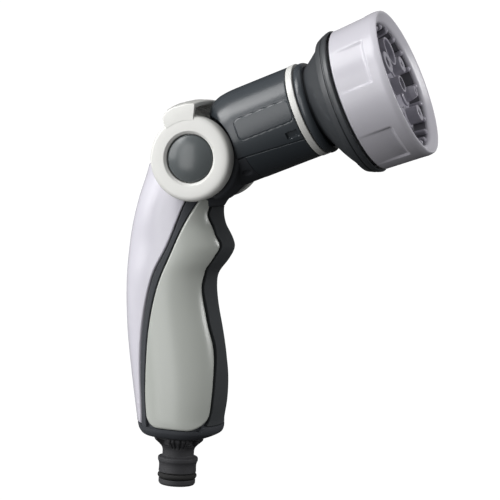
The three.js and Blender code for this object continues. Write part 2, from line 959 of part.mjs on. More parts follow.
function makeRotor() {
  let disc = solid(turnedX(band(4.3, 25.6, 71.5, 79.4), 24));
  disc = disc.subtract(solid(turnedX(band(19.4, 23.6, 73.5, 90), 24)));
  return throughPatterns(disc, 2.2, 70, 90);
}
add(head, "rotor_disc", makeRotor(), INNER_PLASTIC);
const gasketDisc = solid(turnedX(band(4.3, 19, 79.7, 80.6), 20));
add(head, "face_gasket", throughPatterns(gasketDisc, 2.4, 70, 90), SEAL_RUBBER);

// An arched plate between two radii and two angles, from one place along the axis to another.
function sector(inner, outerRadius, from, to, start, end) {
  const shape = new THREE.Shape();
  shape.absarc(0, 0, outerRadius, rad(from), rad(to), false);
  shape.absarc(0, 0, inner, rad(to), rad(from), true);
  return new THREE.ExtrudeGeometry(shape, {
    depth: end - start,
    curveSegments: 4,
    bevelEnabled: false,
  })
    .rotateX(Math.PI / 2)
    .rotateZ(Math.PI / 2)
    .translate(start, 0, 0);
}

function makeBezel() {
  let ring = solid(
    turnedX(
      [
        [BEZEL_INNER, 69.8],
        [29.2, BEZEL_REAR],
        [29.9, 70.2],
        [30.7, 86],
        [30.9, 89.4],
        [30.5, 90.8],
        [29.2, BEZEL_FRONT],
        [27.4, 91.2],
        [26.6, 90.2],
        [BEZEL_INNER, 89.2],
      ],
      32,
    ),
  );
  const PAD_REACH = 15;
  const FIRST_PAD = 151;
  for (let i = 0; i < THUMB_PADS; i++) {
    const middle = FIRST_PAD + (360 / THUMB_PADS) * i;
    const start = BEZEL_REAR - 1;
    const press = sector(29.8, 34, middle - 17, middle + 17, start, BEZEL_REAR + PAD_REACH);
    ring = ring.subtract(solid(press));
  }
  return ring;
}
add(head, "bezel_ring", makeBezel(), SILVER);

// The spray patterns, from the top one and clockwise seen from the back: profile and opening.
const NOZZLES = [
  // Flood cup.
  { profile: rod(6, 82, 88.3), bore: 5.2, depth: 82.2 },
  // Cone.
  { profile: rod(3.7, 82, 88), bore: 1.6, depth: 80 },
  // Jet, tapered.
  {
    profile: [
      [0, 82],
      [3.6, 82],
      [3.4, 84.5],
      [2, 89],
      [0, 89],
    ],
    bore: 1.1,
    depth: 80,
  },
  // Centre stream, on a flange.
  {
    profile: [
      [0, 82],
      [4.6, 82],
      [4.6, 84.8],
      [3.35, 85],
      [3.35, 88.4],
      [0, 88.4],
    ],
    bore: 1.3,
    depth: 80,
  },
  // Flat, with a slot across its mouth.
  { profile: rod(3.8, 82, 87.6), bore: 1.2, depth: 80 },
  // Mist.
  { profile: rod(3.4, 82, 87), bore: 0.9, depth: 80 },
  // Soaker.
  { profile: rod(4.8, 82, 86), bore: 2.2, depth: 80 },
];
const FLAT_PATTERN = 4; // the flat one's place in the list

function makeSprayFace() {
  let face = solid(turnedX(rod(FACE_RADIUS, 80.9, FACE_FLOOR), 40));
  const RIB_REACH = 1.3;
  for (let i = 0; i < RIBS; i++) {
    const rib = box(6.4, RIB_REACH + 0.5, 2, 86.2, FACE_RADIUS - RIB_REACH / 2 - 0.35, 0);
    face = face.add(solid(rib.rotateX((TURN * i) / RIBS)));
  }
  face = face.add(solid(turnedX(band(2.8, 3.65, 82, 88.6), 16)));
  NOZZLES.forEach(({ profile }, i) => {
    face = face.add(solid(atPort(turnedX(profile, 12), patternAngle(i))));
  });
  NOZZLES.forEach(({ bore, depth }, i) => {
    face = face.subtract(solid(atPort(turnedX(rod(bore, depth, 95), 8), patternAngle(i))));
  });
  const feed = solid(atPort(turnedX(rod(2.2, 80, 83), 8), TOP));
  const slot = solid(atPort(box(3, 6, 1.1, 87.5, 0, 0), patternAngle(FLAT_PATTERN)));
  const screwHole = solid(
    turnedX(
      [
        [0, 70],
        [4.3, 70],
        [4.3, 81.2],
        [1.7, 81.2],
        [1.7, 82.4],
        [2.8, 82.4],
        [2.8, 95],
        [0, 95],
      ],
      16,
    ),
  );
  return face.subtract(feed).subtract(slot).subtract(screwHole);
}
add(head, "spray_face", makeSprayFace(), FACE_PLASTIC);

add(head, "head_washer", turnedX(band(1.65, 2.5, 82.7, 83.2), 12), STEEL);
add(
  head,
  "head_screw",
  turnedX(
    [
      [0, 72],
      [1.3, 72.4],
      [1.3, 83.5],
      [2.3, 83.5],
      [2.3, 85],
      [0, 85.2],
    ],
    12,
  ),
  STEEL,
);

export default spray;
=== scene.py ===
"""Garden hose spray nozzle: the finished surfaces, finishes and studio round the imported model.

Sizes are in millimetres and become metres as a mesh is made. +Z runs up the hose tail, +X is the way
the nozzle sprays and +Y is its left side. The barrel and head are worked out along their own tilted
axis: `along` runs forward from the lever's axle, `up` stands square to it.
"""

import json
import math

import bmesh
import bpy
import numpy as np
from bpy.props import FloatProperty, FloatVectorProperty, PointerProperty
from mathutils import Matrix, Vector


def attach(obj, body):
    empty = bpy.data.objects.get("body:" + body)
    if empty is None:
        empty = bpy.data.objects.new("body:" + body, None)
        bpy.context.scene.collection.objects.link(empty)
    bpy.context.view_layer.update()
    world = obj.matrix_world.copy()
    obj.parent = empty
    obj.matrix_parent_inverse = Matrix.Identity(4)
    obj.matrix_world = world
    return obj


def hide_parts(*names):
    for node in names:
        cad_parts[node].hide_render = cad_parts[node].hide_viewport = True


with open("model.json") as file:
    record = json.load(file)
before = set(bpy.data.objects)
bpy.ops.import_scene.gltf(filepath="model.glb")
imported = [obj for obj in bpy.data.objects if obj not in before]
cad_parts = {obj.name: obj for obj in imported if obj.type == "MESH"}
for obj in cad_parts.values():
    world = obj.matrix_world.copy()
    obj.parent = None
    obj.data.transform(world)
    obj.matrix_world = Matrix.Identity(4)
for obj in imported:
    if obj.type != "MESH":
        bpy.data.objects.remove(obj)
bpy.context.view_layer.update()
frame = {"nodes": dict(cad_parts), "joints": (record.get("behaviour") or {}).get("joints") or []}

bl_info = {
    "name": "Hose Spray Nozzle",
    "version": (1, 0, 0),
    "blender": (4, 5, 0),
    "location": "View3D > Sidebar > Nozzle",
    "description": "Builds a garden hose spray nozzle round its packed model",
    "category": "Add Mesh",
}

MM = 0.001

JOINTS = {joint["name"]: joint for joint in frame["joints"]}
HUB = np.array(JOINTS["thumb_lever_pivot"]["pos_m"]) / MM
ALONG = np.array(JOINTS["spray_head_turn"]["axis"])
ACROSS = np.array([0.0, 1.0, 0.0])
UP = np.cross(ALONG, ACROSS)
HEAD_CENTRE = np.array(JOINTS["spray_head_turn"]["pos_m"]) / MM
BARREL_LIFT = 3.4
BARREL_CENTRE = HUB + BARREL_LIFT * UP

# The handle's side outline, as height and reach, and its half width.
HANDLE_REAR = [
    [21, -15], [24, -17.1], [30, -18.4], [46, -21.4], [64, -24.2], [80, -25.5],
    [94, -25.6], [107, -24.6], [120, -22], [130, -19.3], [137, -17.5],
]
HANDLE_FRONT = [
    [21, 12.6], [24, 17.8], [30, 18.4], [38, 19.3], [47, 19.2], [56, 18], [65, 16.2], [78, 13],
    [86, 11.9], [91, 12.6], [97, 16.8], [102, 19.1], [106, 18], [112, 14.4], [118, 13.2],
    [121, 14.4], [124, 16.8], [127, 19.6], [130.5, 23.6], [137, 20],
]
HANDLE_HALF_WIDTH = [[21, 13], [24, 15], [32, 15.8], [60, 16.4], [137, 16.6]]
FRONT_POWER = 2.6
REAR_POWER = 2.3

# Seams on the handle's side, as height and how far forward they lie.
COVER_SEAM = [
    [18, -14], [31, -13.5], [50, -14.3], [69, -13.3], [89, -9.4], [103, -3],
    [118, 2.4], [122, 4.3], [128, 8.3], [137, 9.3],
]
PANEL_REAR_EDGE = [
    [25.4, -9.9], [29.5, -10.2], [38, -11], [50, -11.1], [68, -10.1], [85, -6.9], [100, -1.2],
    [110, 3], [119, 7.5], [123, 10.2],
]
PANEL_FRONT_EDGE = [
    [25.4, 14.9], [28, 15.8], [35, 17.1], [48, 17.5], [60, 16.3], [72, 13.1], [85, 10.4],
    [92, 11.5], [97.6, 15], [103, 17.4], [108, 15], [115, 11.7], [119, 11.9], [123, 12.7],
]
PANEL_FOOT = 25.4
PANEL_TOP = 122.4
COVER_FOOT = 26.2
COVER_TOP = 135.6
GRIP_FOOT = 27.6
GRIP_TOP = 119.0
UNDER_RING = 17.0  # how near the axle the covers reach, under the lever's ring


# ---- Shapes as grids of points -----------------------------------------------------------------


def smooth(table, at):
    """A smooth curve through [position, value] pairs: a cubic between each two, whose slope at a
    pair is that of the line joining its neighbours."""
    x, y = np.array(table, float).T
    at = np.asarray(at, float)
    slope = np.gradient(y)
    slope[1:-1] = (y[2:] - y[:-2]) / (x[2:] - x[:-2])
    slope[0] = (y[1] - y[0]) / (x[1] - x[0])
    slope[-1] = (y[-1] - y[-2]) / (x[-1] - x[-2])
    i = np.clip(np.searchsorted(x[1:-1], at), 0, len(x) - 2)
    span = x[i + 1] - x[i]
    t = np.clip((at - x[i]) / span, 0, 1)
    rise = y[i] + (y[i + 1] - y[i]) * t * t * (3 - 2 * t)
    return rise + t * (1 - t) ** 2 * span * slope[i] + t * t * (t - 1) * span * slope[i + 1]


def ease(value, start, stop):
    """Rises smoothly from 0 at start to 1 at stop: 3t squared less 2t cubed."""
    t = np.clip((value - start) / (stop - start), 0, 1)
    return t * t * (3 - 2 * t)


def crowded(count, pull=0.88):
    """Numbers from 0 to 1 that lie closer together towards both ends."""
    t = np.linspace(0, 1, count)
    return t - pull * np.sin(2 * np.pi * t) / (2 * np.pi)


def roll_off(near, radius):
    """Depth of a quarter round of this radius at a distance from the edge."""
    reach = radius - np.minimum(near, radius)
    return radius - np.sqrt(np.maximum(radius**2 - reach**2, 0))


def facing_out(points, quads):
    """Turns the faces round where the volume they enclose comes out negative."""
    a, b, c, d = (points[quads[:, i]] for i in range(4))
    volume = (np.cross(a, b) * c).sum() + (np.cross(a, c) * d).sum()
    return points, quads if volume > 0 else quads[:, ::-1]


def quads_of(index):
    corners = [index[:-1, :-1], index[:-1, 1:], index[1:, 1:], index[1:, :-1]]
    return np.stack(corners, -1).reshape(-1, 4)


def skin(points, ring=False):
    """A closed skin over rows of points that each run round to their start. The last row joins the
    first where ring is set, and otherwise each end row draws in to its middle."""
    if not ring:
        ends = [np.broadcast_to(row.mean(0), row.shape)[None] for row in (points[0], points[-1])]
        points = np.concatenate([ends[0], points, ends[1]])
    index = np.arange(points.shape[0] * points.shape[1]).reshape(points.shape[:2])
    index = np.concatenate([index, index[:, :1]], 1)
    if ring:
        index = np.concatenate([index, index[:1]], 0)
    return facing_out(points.reshape(-1, 3), quads_of(index))


def around(grid):
    """The grid's border, once round."""
    return np.concatenate([grid[0, :-1], grid[:-1, -1], grid[-1, :0:-1], grid[:0:-1, 0]])


def plate(top, under):
    """A closed sheet: an upper grid, an under grid, and a wall round their border."""
    index = np.arange(top.shape[0] * top.shape[1]).reshape(top.shape[:2])
    rim = around(index)
    after = np.roll(rim, -1)
    wall = np.stack([after, rim, rim + index.size, after + index.size], -1)
    face = quads_of(index)
    quads = np.concatenate([face, face[:, ::-1] + index.size, wall])
    points = np.concatenate([top.reshape(-1, 3), under.reshape(-1, 3)])
    return facing_out(points, quads)


def from_line(points, line):
    """Distance of each point from a closed line, worked out a few thousand points at a time."""
    run = np.roll(line, -1, 0) - line
    square = np.maximum((run**2).sum(-1), 1e-12)

    def nearest(some):
        offset = some[:, None] - line
        t = np.clip((offset * run).sum(-1) / square, 0, 1)
        return np.sqrt(((offset - t[..., None] * run) ** 2).sum(-1).min(1))

    flat = points.reshape(-1, 3)
    parts = np.array_split(flat, max(len(flat) // 2000, 1))
    return np.concatenate([nearest(part) for part in parts]).reshape(points.shape[:-1])


def inlay(at_depth, roll, wall, extra=None):
    """A sheet whose border rolls down by a quarter round. at_depth gives the grid at a depth."""
    flat = at_depth(0.0)
    near = from_line(flat, around(flat))
    depth = roll_off(near, roll)
    if extra is not None:
        depth = depth + extra
    return plate(at_depth(depth), at_depth(np.full(near.shape, float(wall))))


def mirrored(shells):
    """The same shells on the other side of the centre plane."""
    return [(points * [1, -1, 1], quads[:, ::-1]) for points, quads in shells]


def rounded(profile, radius=0.3, steps=4, closed=True):
    """A profile with its corners eased: each becomes a parabola between points the radius away.
    A third number in a profile point is that corner's own radius."""
    own = np.array([point[2] if len(point) > 2 else radius for point in profile], float)
    corner = np.array([point[:2] for point in profile], float)
    if not closed:
        own[0] = own[-1] = 0
    t = np.linspace(0, 1, steps)[None, :, None]

    def towards(other):
        run = other - corner
        length = np.maximum(np.linalg.norm(run, axis=1), 1e-9)
        return corner + run * np.minimum(own / length, 0.5)[:, None]

    start = towards(np.roll(corner, 1, 0))[:, None]
    stop = towards(np.roll(corner, -1, 0))[:, None]
    curve = (1 - t) ** 2 * start + 2 * t * (1 - t) * corner[:, None] + t**2 * stop
    return curve.reshape(-1, 2)


def finer(profile, step, closed=True):
    """The same line with points no further apart than the step."""
    line = np.concatenate([profile, profile[:1]]) if closed else profile
    length = np.concatenate([[0], np.cumsum(np.linalg.norm(np.diff(line, axis=0), axis=1))])
    keep = np.concatenate([[True], np.diff(length) > 1e-6])
    line, length = line[keep], length[keep]
    even = np.arange(0, length[-1], step)
    at = np.unique(np.round(np.concatenate([even, length]), 5))
    if closed:
        at = at[:-1]
    return np.stack([np.interp(at, length, line[:, i]) for i in range(2)], -1)


AXES = {
    "tail": (np.zeros(3), np.array([0, 0, 1.0]), np.array([1.0, 0, 0]), ACROSS),
    "hub": (HUB, ACROSS, np.array([1.0, 0, 0]), np.array([0, 0, 1.0])),
    "barrel": (BARREL_CENTRE, ALONG, ACROSS, UP),
    "head": (HEAD_CENTRE, ALONG, ACROSS, UP),
}


def place(axis, radius, angle, distance):
    """Points at a radius and angle round an axis, and a distance along it."""
    centre, along, first, second = AXES[axis]
    radius, angle, distance = np.broadcast_arrays(radius, angle, distance)
    return (
        centre
        + distance[..., None] * along
        + (radius * np.cos(angle))[..., None] * first
        + (radius * np.sin(angle))[..., None] * second
    )


def turned(axis, profile, segments=96, shape=None):
    """A profile of radius and distance carried round an axis. shape may change the radius from the
    radius, angle and distance."""
    angle = np.linspace(0, 2 * np.pi, segments, endpoint=False)[None]
    radius, distance = (profile[:, i][:, None] for i in range(2))
    if shape is not None:
        radius = shape(radius, angle, distance)
    ring = profile[0, 0] > 0 or profile[-1, 0] > 0
    return skin(place(axis, radius, angle, distance), ring=ring)


# ---- Making a piece ----------------------------------------------------------------------------

SHARP_ANGLE = math.radians(32)


def make_piece(name, shells, finish, body, *nodes, slot=None):
    """One object from closed shells, riding on a body, with the nodes it takes the place of hidden."""
    counts = np.cumsum([0] + [len(points) for points, _ in shells])
    points = np.concatenate([points for points, _ in shells]) * MM
    quads = np.concatenate([quads + start for (_, quads), start in zip(shells, counts)])
    mesh = bpy.data.meshes.new(name)
    mesh.from_pydata(points, [], quads)
    work = bmesh.new()
    work.from_mesh(mesh)
    bmesh.ops.remove_doubles(work, verts=work.verts, dist=1e-6)
    bmesh.ops.dissolve_degenerate(work, edges=work.edges, dist=1e-7)
    work.to_mesh(mesh)
    work.free()
    mesh.shade_smooth()
    mesh.set_sharp_from_angle(angle=SHARP_ANGLE)
    piece = bpy.data.objects.new(name, mesh)
    bpy.context.scene.collection.objects.link(piece)
    mesh.materials.append(finish_for(finish))
    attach(piece, body)
    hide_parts(*nodes)
    return piece


# ---- Finishes ----------------------------------------------------------------------------------


class Value:
    """A number that changes over a surface. The usual signs add the Math nodes for them."""

    def __init__(self, maker, socket):
        self.maker, self.socket = maker, socket

    def _with(self, operation, *values):
        node = self.maker.add("ShaderNodeMath", {"operation": operation}, dict(enumerate(values)))
        return Value(self.maker, node.outputs[0])

    def __add__(self, other):
        return self._with("ADD", self, other)

    def __radd__(self, other):
        return self._with("ADD", other, self)

    def __sub__(self, other):
        return self._with("SUBTRACT", self, other)

    def __rsub__(self, other):
        return self._with("SUBTRACT", other, self)

    def __mul__(self, other):
        return self._with("MULTIPLY", self, other)

    def __rmul__(self, other):
        return self._with("MULTIPLY", other, self)

    def __pow__(self, other):
        return self._with("POWER", self, other)

    def step(self, low, high):
        """Rises smoothly from 0 at low to 1 at high."""
        inputs = {"Value": self, "From Min": low, "From Max": high}
        node = self.maker.add("ShaderNodeMapRange", {"interpolation_type": "SMOOTHSTEP"}, inputs)
        return Value(self.maker, node.outputs[0])


class NodeTree:
    """Adds nodes to an emptied tree."""

    def __init__(self, tree):
        self.tree = tree
        tree.nodes.clear()

    def add(self, kind, settings=None, inputs=None):
        """A node of a type, with its settings first and then its sockets' values or links."""
        node = self.tree.nodes.new(kind)
        for key, value in (settings or {}).items():
            setattr(node, key, value)
        self.fill(node, inputs or {})
        return node

    def fill(self, node, inputs):
        for key, value in inputs.items():
            if isinstance(value, Value):
                value = value.socket
            if isinstance(value, bpy.types.NodeSocket):
                self.tree.links.new(value, node.inputs[key])
            else:
                node.inputs[key].default_value = value


class Finish(NodeTree):
    """Builds one material's nodes."""

    def __init__(self, name):
        self.material = bpy.data.materials.new(name)
        self.material.use_nodes = True
        super().__init__(self.material.node_tree)
        self.place = self.add("ShaderNodeTexCoord").outputs["Object"]
        self.surface = self.add("ShaderNodeBsdfPrincipled")
        output = self.add("ShaderNodeOutputMaterial", None, {"Surface": self.surface.outputs[0]})
        output.is_active_output = True

    def noise(self, size, detail=2.0, rough=0.5):
        """Cloudy noise from 0 to 1, whose clouds are about this many millimetres."""
        inputs = {"Vector": self.place, "Scale": 1 / (size * MM), "Detail": detail}
        node = self.add("ShaderNodeTexNoise", None, inputs | {"Roughness": rough})
        return Value(self, node.outputs[0])

    def flakes(self, size):
        """A random number from 0 to 1 for each grain of this size in millimetres."""
        inputs = {"Vector": self.place, "Scale": 1 / (size * MM)}
        node = self.add("ShaderNodeTexVoronoi", {"feature": "F1"}, inputs)
        parts = self.add("ShaderNodeSeparateColor", None, {0: node.outputs["Color"]})
        return Value(self, parts.outputs[0])

    def edges(self):
        """1 along convex edges, which are lightened as wear and as a painted highlight, 0 elsewhere."""
        node = self.add("ShaderNodeNewGeometry")
        return Value(self, node.outputs["Pointiness"]).step(0.52, 0.62)

    def blend(self, amount, first, second):
        """A colour between two, by an amount from 0 to 1."""
        settings = {"data_type": "RGBA", "blend_type": "MIX"}
        node = self.add("ShaderNodeMix", settings, {0: amount})
        self.fill(node, {6: first, 7: second})
        return node.outputs[2]

    def bump(self, *layers):
        """Grain from (height, depth in millimetres) layers, one on top of another."""
        normal = None
        for height, depth in layers:
            inputs = {"Height": height, "Strength": 1.0, "Distance": depth * MM}
            if normal is not None:
                inputs["Normal"] = normal
            normal = self.add("ShaderNodeBump", None, inputs).outputs[0]
        return normal


def tint(colour, amount):
    """A colour made lighter (above 1) or darker (below 1)."""
    return (*(min(part * amount, 1.0) for part in colour[:3]), 1.0)


# For each finish: roughness, how much it varies, metal, coat, grain size and depth in millimetres,
# how uneven its colour is, and how much lighter its convex edges are, as wear and as painted highlight.
FINISHES = {
    "silver_cover": (0.36, 0.10, 0.25, 0.25, 0.22, 0.0012, 0.05, 1.10),
    "pearl_panel": (0.33, 0.10, 0.30, 0.30, 0.20, 0.0012, 0.06, 1.25),
    "off_white": (0.42, 0.12, 0.0, 0.10, 0.35, 0.0025, 0.04, 1.06),
    "dark_shell": (0.42, 0.10, 0.0, 0.35, 0.30, 0.0030, 0.12, 1.9),
    "dark_frame": (0.42, 0.14, 0.0, 0.0, 0.28, 0.0050, 0.14, 1.9),
    "soft_rubber": (0.55, 0.14, 0.0, 0.0, 0.24, 0.0070, 0.16, 1.6),
    "tail_plastic": (0.40, 0.14, 0.0, 0.0, 0.30, 0.0040, 0.14, 2.0),
    "cap_plastic": (0.36, 0.10, 0.0, 0.30, 0.20, 0.0035, 0.10, 1.5),
    "silver_ring": (0.38, 0.12, 0.20, 0.15, 0.25, 0.0018, 0.05, 1.12),
    "face_plastic": (0.40, 0.12, 0.10, 0.10, 0.25, 0.0020, 0.07, 1.25),
    "bell_rubber": (0.44, 0.12, 0.0, 0.20, 0.24, 0.0050, 0.12, 1.7),
    # Painted shade: the dark lining of the face's trough is the face's own plastic, painted darker where it
    # lies in shade.
    "painted_trough_shade": (0.55, 0.12, 0.0, 0.0, 0.25, 0.0020, 0.08, 1.2),
    "inner_plastic": (0.50, 0.12, 0.0, 0.0, 0.40, 0.0040, 0.08, 1.2),
    "seal_rubber": (0.60, 0.14, 0.0, 0.0, 0.30, 0.0050, 0.16, 1.5),
    "steel": (0.26, 0.14, 1.0, 0.0, 0.12, 0.0020, 0.08, 1.2),
}


def finish_for(slot):
    """The material of a slot, made the first time it is asked for: a base colour clouded by broad
    noise, specked by fine flakes and lightened on convex edges, as wear and as a painted highlight;
    roughness that drifts with the same noise; a moulded or painted grain over a very shallow
    waviness. A slot whose name the frame already gave to a plain material gets that material back
    instead, without any of this."""
    known = bpy.data.materials.get(slot)
    if known:
        return known
    rough, drift, metal, coat, grain, depth, uneven, edge_lift_wear_and_highlight = FINISHES[slot]
    base = tuple(getattr(bpy.context.scene.nozzle_colours, slot))
    made = Finish(slot)
    clouds = made.noise(14.0, 3.0)
    smudges = made.noise(4.5, 4.0, 0.6)
    speck = made.flakes(grain)
    # Convex edges lightened in patches: part wear, part painted highlight.
    wear_and_highlight_mask = made.edges() * made.noise(1.6, 3.0).step(0.3, 0.65)
    shade = (clouds * 0.6 + smudges * 0.25 + speck * 0.15).step(0.3, 0.7)
    body = made.blend(shade, tint(base, 1 - uneven), tint(base, 1 + uneven))
    inputs = {
        "Base Color": made.blend(wear_and_highlight_mask * 0.7, body, tint(base, edge_lift_wear_and_highlight)),
        "Roughness": (smudges - 0.5) * drift + (speck - 0.5) * (drift * 0.5) + wear_and_highlight_mask * 0.06 + rough,
        "Metallic": metal,
        "Coat Weight": coat,
        "Coat Roughness": 0.22,
        "Normal": made.bump((made.noise(9.0, 1.0), depth * 6), (made.noise(grain, 2.0), depth)),
    }
    made.fill(made.surface, inputs)
    return made.material


# ---- The handle --------------------------------------------------------------------------------


def handle_skin(angle, z, inset=0.0):
    """The handle's skin at a height and an angle round its middle, 0 in front and 180 degrees
    behind: an oval, with x and y over their reaches to the power 2.6 in front and 2.3 behind
    adding up to 1. The inset draws it in on every side."""
    rear = smooth(HANDLE_REAR, z) + inset
    front = smooth(HANDLE_FRONT, z) - inset
    half = smooth(HANDLE_HALF_WIDTH, z) - inset
    c, s = np.cos(angle), np.sin(angle)
    power = np.where(c > 0, FRONT_POWER, REAR_POWER)
    radius = (np.abs(c) ** power + np.abs(s) ** power) ** (-1 / power)
    x = (rear + front) / 2 + (front - rear) / 2 * radius * c
    x, y, z = np.broadcast_arrays(x, half * radius * s, z)
    return np.stack([x, y, z], -1)


def skin_angle(x, z):
    """The angle at which the handle's skin, at a height, lies this far forward."""
    rear, front = smooth(HANDLE_REAR, z), smooth(HANDLE_FRONT, z)
    reach = np.clip((x - (rear + front) / 2) / ((front - rear) / 2), -0.9999, 0.9999)
    power = np.where(reach > 0, FRONT_POWER, REAR_POWER)
    return np.arctan2((1 - np.abs(reach) ** power) ** (1 / power), reach)


def corner(z, low, radius):
    """How far a rounded lower corner draws in at a height."""
    rise = np.clip((z - low) / radius, 0, 1)
    return radius * (1 - np.sqrt(1 - (1 - rise) ** 2))


RIGHT = np.array([1, -1, 1])


def make_panel():
    """The right side panel: heights from its foot to under the ring, angles from its front edge to
    its rear one."""
    t, v = crowded(120)[:, None], crowded(64)[None]
    z = PANEL_FOOT + (PANEL_TOP - PANEL_FOOT) * t
    front = skin_angle(smooth(PANEL_FRONT_EDGE, z) - corner(z, PANEL_FOOT, 6.5), z)
    rear = skin_angle(smooth(PANEL_REAR_EDGE, z) + corner(z, PANEL_FOOT, 5.5), z)
    angle = front + (rear - front) * v
    return inlay(lambda depth: handle_skin(angle, z, depth) * RIGHT, 0.9, 1.9)


def make_cover():
    """The rear cover: heights from the foot to the top, angles from the right seam round the back
    to the left one. Its top is level behind and curves down round the axle at the sides."""
    t, v = crowded(130)[:, None], crowded(120, 0.7)[None]
    top = np.full(v.shape, 125.0)

    def angle_at(z):
        start = skin_angle(smooth(COVER_SEAM, z) - 0.05, z)
        return start + (2 * np.pi - 2 * start) * v

    for _ in range(60):
        x = handle_skin(angle_at(top), top)[..., 0]
        drop = np.sqrt(np.maximum(UNDER_RING**2 - (x - HUB[0]) ** 2, 0))
        top = 0.5 * top + 0.5 * np.minimum(COVER_TOP, HUB[2] - drop)
    z = COVER_FOOT + (top - COVER_FOOT) * t
    angle = angle_at(z)
    return inlay(lambda depth: handle_skin(angle, z, depth) * RIGHT, 0.8, 1.9)


def make_grip():
    """The front grip: from the right panel's edge round the front to the left one's."""
    t, v = crowded(130)[:, None], crowded(72, 0.8)[None]
    z = GRIP_FOOT + (GRIP_TOP - GRIP_FOOT) * t
    edge = skin_angle(smooth(PANEL_FRONT_EDGE, z) + 0.5, z)
    angle = edge * (1 - 2 * v)
    return inlay(lambda depth: handle_skin(angle, z, depth) * RIGHT, 0.25, 1.9)


def make_strip():
    """The frame's strip that shows between the cover and the panel."""
    t, v = crowded(110, 0.6)[:, None], crowded(20, 0.8)[None]
    z = 24.0 + (122.0 - 24.0) * t
    front = skin_angle(smooth(PANEL_REAR_EDGE, z) - 0.4, z)
    rear = skin_angle(smooth(COVER_SEAM, z) + 0.4, z)
    angle = front + (rear - front) * v
    return inlay(lambda depth: handle_skin(angle, z, depth + 0.3) * RIGHT, 0.4, 1.9)


def half_row(outer):
    """Rows of points from the front round one side to the back, carried on straight back along
    the centre plane."""
    steps = np.linspace(0, 1, 12)[None, 1:-1, None]
    return np.concatenate([outer, outer[:, -1:] * (1 - steps) + outer[:, :1] * steps], 1)


def make_core():
    """The right half of the frame's core, foot and neck. It lies under the covers except at the
    foot, below their lower edges, and at the neck, above the grip and in front of the hub."""
    z = np.unique(np.concatenate([
        21 + 1.2 * (1 - np.cos(np.linspace(0, np.pi / 2, 7))),
        np.arange(22.4, 30, 0.18), np.arange(30, 116, 1.6), np.arange(116, 133, 0.35),
    ]))[:, None]
    angle = np.concatenate([
        np.linspace(0.002, 0.1, 8), np.linspace(0.12, np.pi - 0.12, 90),
        np.linspace(np.pi - 0.1, np.pi - 0.002, 8),
    ])[None]
    x = handle_skin(angle, z)[..., 0]
    rear = ease(x, -13.6, -12.6)
    edge = COVER_FOOT - 0.3 + (PANEL_FOOT - COVER_FOOT) * rear
    edge = edge + (GRIP_FOOT - PANEL_FOOT) * ease(x, 14.0, 15.0)
    hidden = ease(z, edge, edge + 0.25)
    neck = ease(z, GRIP_TOP + 0.02, GRIP_TOP + 0.2) * ease(x, 10.2, 11.5)
    inset = 1.6 * hidden * (1 - neck)
    inset = inset + roll_off(z - 21, 1.2)
    seam = roll_off(handle_skin(angle, z)[..., 1] - 0.02, 0.22)
    return skin(half_row(handle_skin(angle, z, inset + seam)) * RIGHT)


def make_saddle():
    """The right half of the neck's end, which carries on as the barrel's underside: a part of the
    barrel's cylinder, from the ring's clearance to the lower shell."""
    v, t = crowded(60, 0.8)[:, None], crowded(60, 0.7)[None]
    low = np.arcsin((-7.4 - BARREL_LIFT) / (BARREL_RADIUS - 0.1))
    angle = np.pi - low + (1.5 * np.pi - 0.001 - np.pi + low) * v
    up = BARREL_LIFT + (BARREL_RADIUS - 0.1) * np.sin(angle)
    start = np.sqrt(np.maximum(POCKET**2 - up**2, 0)) + 0.1
    start = np.maximum(start, 9.0)
    along = start + (20.62 - start) * t
    centre = np.hypot((along - 17.4) / 2.2, (angle - np.radians(237)) * BARREL_RADIUS / 1.7)
    dimple = 0.9 * (1 - ease(centre, 0.7, 1.1))
    return inlay(lambda depth: place("barrel", BARREL_RADIUS - 0.1 - depth, angle, along), 0.12, 3.0, dimple)


def make_hub_drum(side, rim, stand_out):
    """Half of the hub: a drum round the axle. Its lip stands out past the lever's ring in front and
    below."""
    profile = rounded(
        [(0, 0.02, 0), (rim, 0.02, 0.1), (rim, 15.2, 0.5), (rim - 0.8, 16, 0.5), (0, 16, 0)],
        closed=False, steps=5,
    )
    profile = finer(profile, 1.2, closed=False) * [1, side]

    def lip(radius, angle, distance):
        degrees = np.degrees((angle + np.pi) % (2 * np.pi) - np.pi)
        reach = ease(degrees, -66, -56) * (1 - ease(degrees, 10, 24))
        return radius + stand_out * reach * ease(radius, 10, 16)

    return turned("hub", profile, 160, lip)


# ---- The hose tail -----------------------------------------------------------------------------

TAIL = [
    (4.6, 0, 0.3), (7.2, 0, 0.4), (7.8, 0.8, 0.4), (7.8, 2.6, 0.3), (5.6, 2.7, 0.1),
    (5.6, 5.3, 0.1), (8.0, 5.4, 0.4), (7.85, 8.4, 1.2), (8.1, 9.6, 1.0), (8.5, 10.3, 0.4),
    (8.5, 11.8, 0.5), (6.7, 12.5, 0.5), (6.7, 15.6, 1.5), (8.3, 17.4, 1.0), (10.4, 19.2, 0.4),
    (10.4, 20.6, 0.4), (8.4, 20.9, 0.2), (8.4, 22.4, 0.1), (4.6, 22.4, 0.1),
]
TAIL_WINDOW_ANGLES = np.radians([-115, -25, 65, 155])
TAIL_RIB_ANGLES = np.radians(np.arange(4)[:, None] * 90 - 70 + np.array([-14, 0, 14])[None]).ravel()


def turn_gap(angle, marks):
    """Angle from the nearest of the marks."""
    away = angle[..., None] - marks
    return np.abs((away + np.pi) % (2 * np.pi) - np.pi).min(-1)


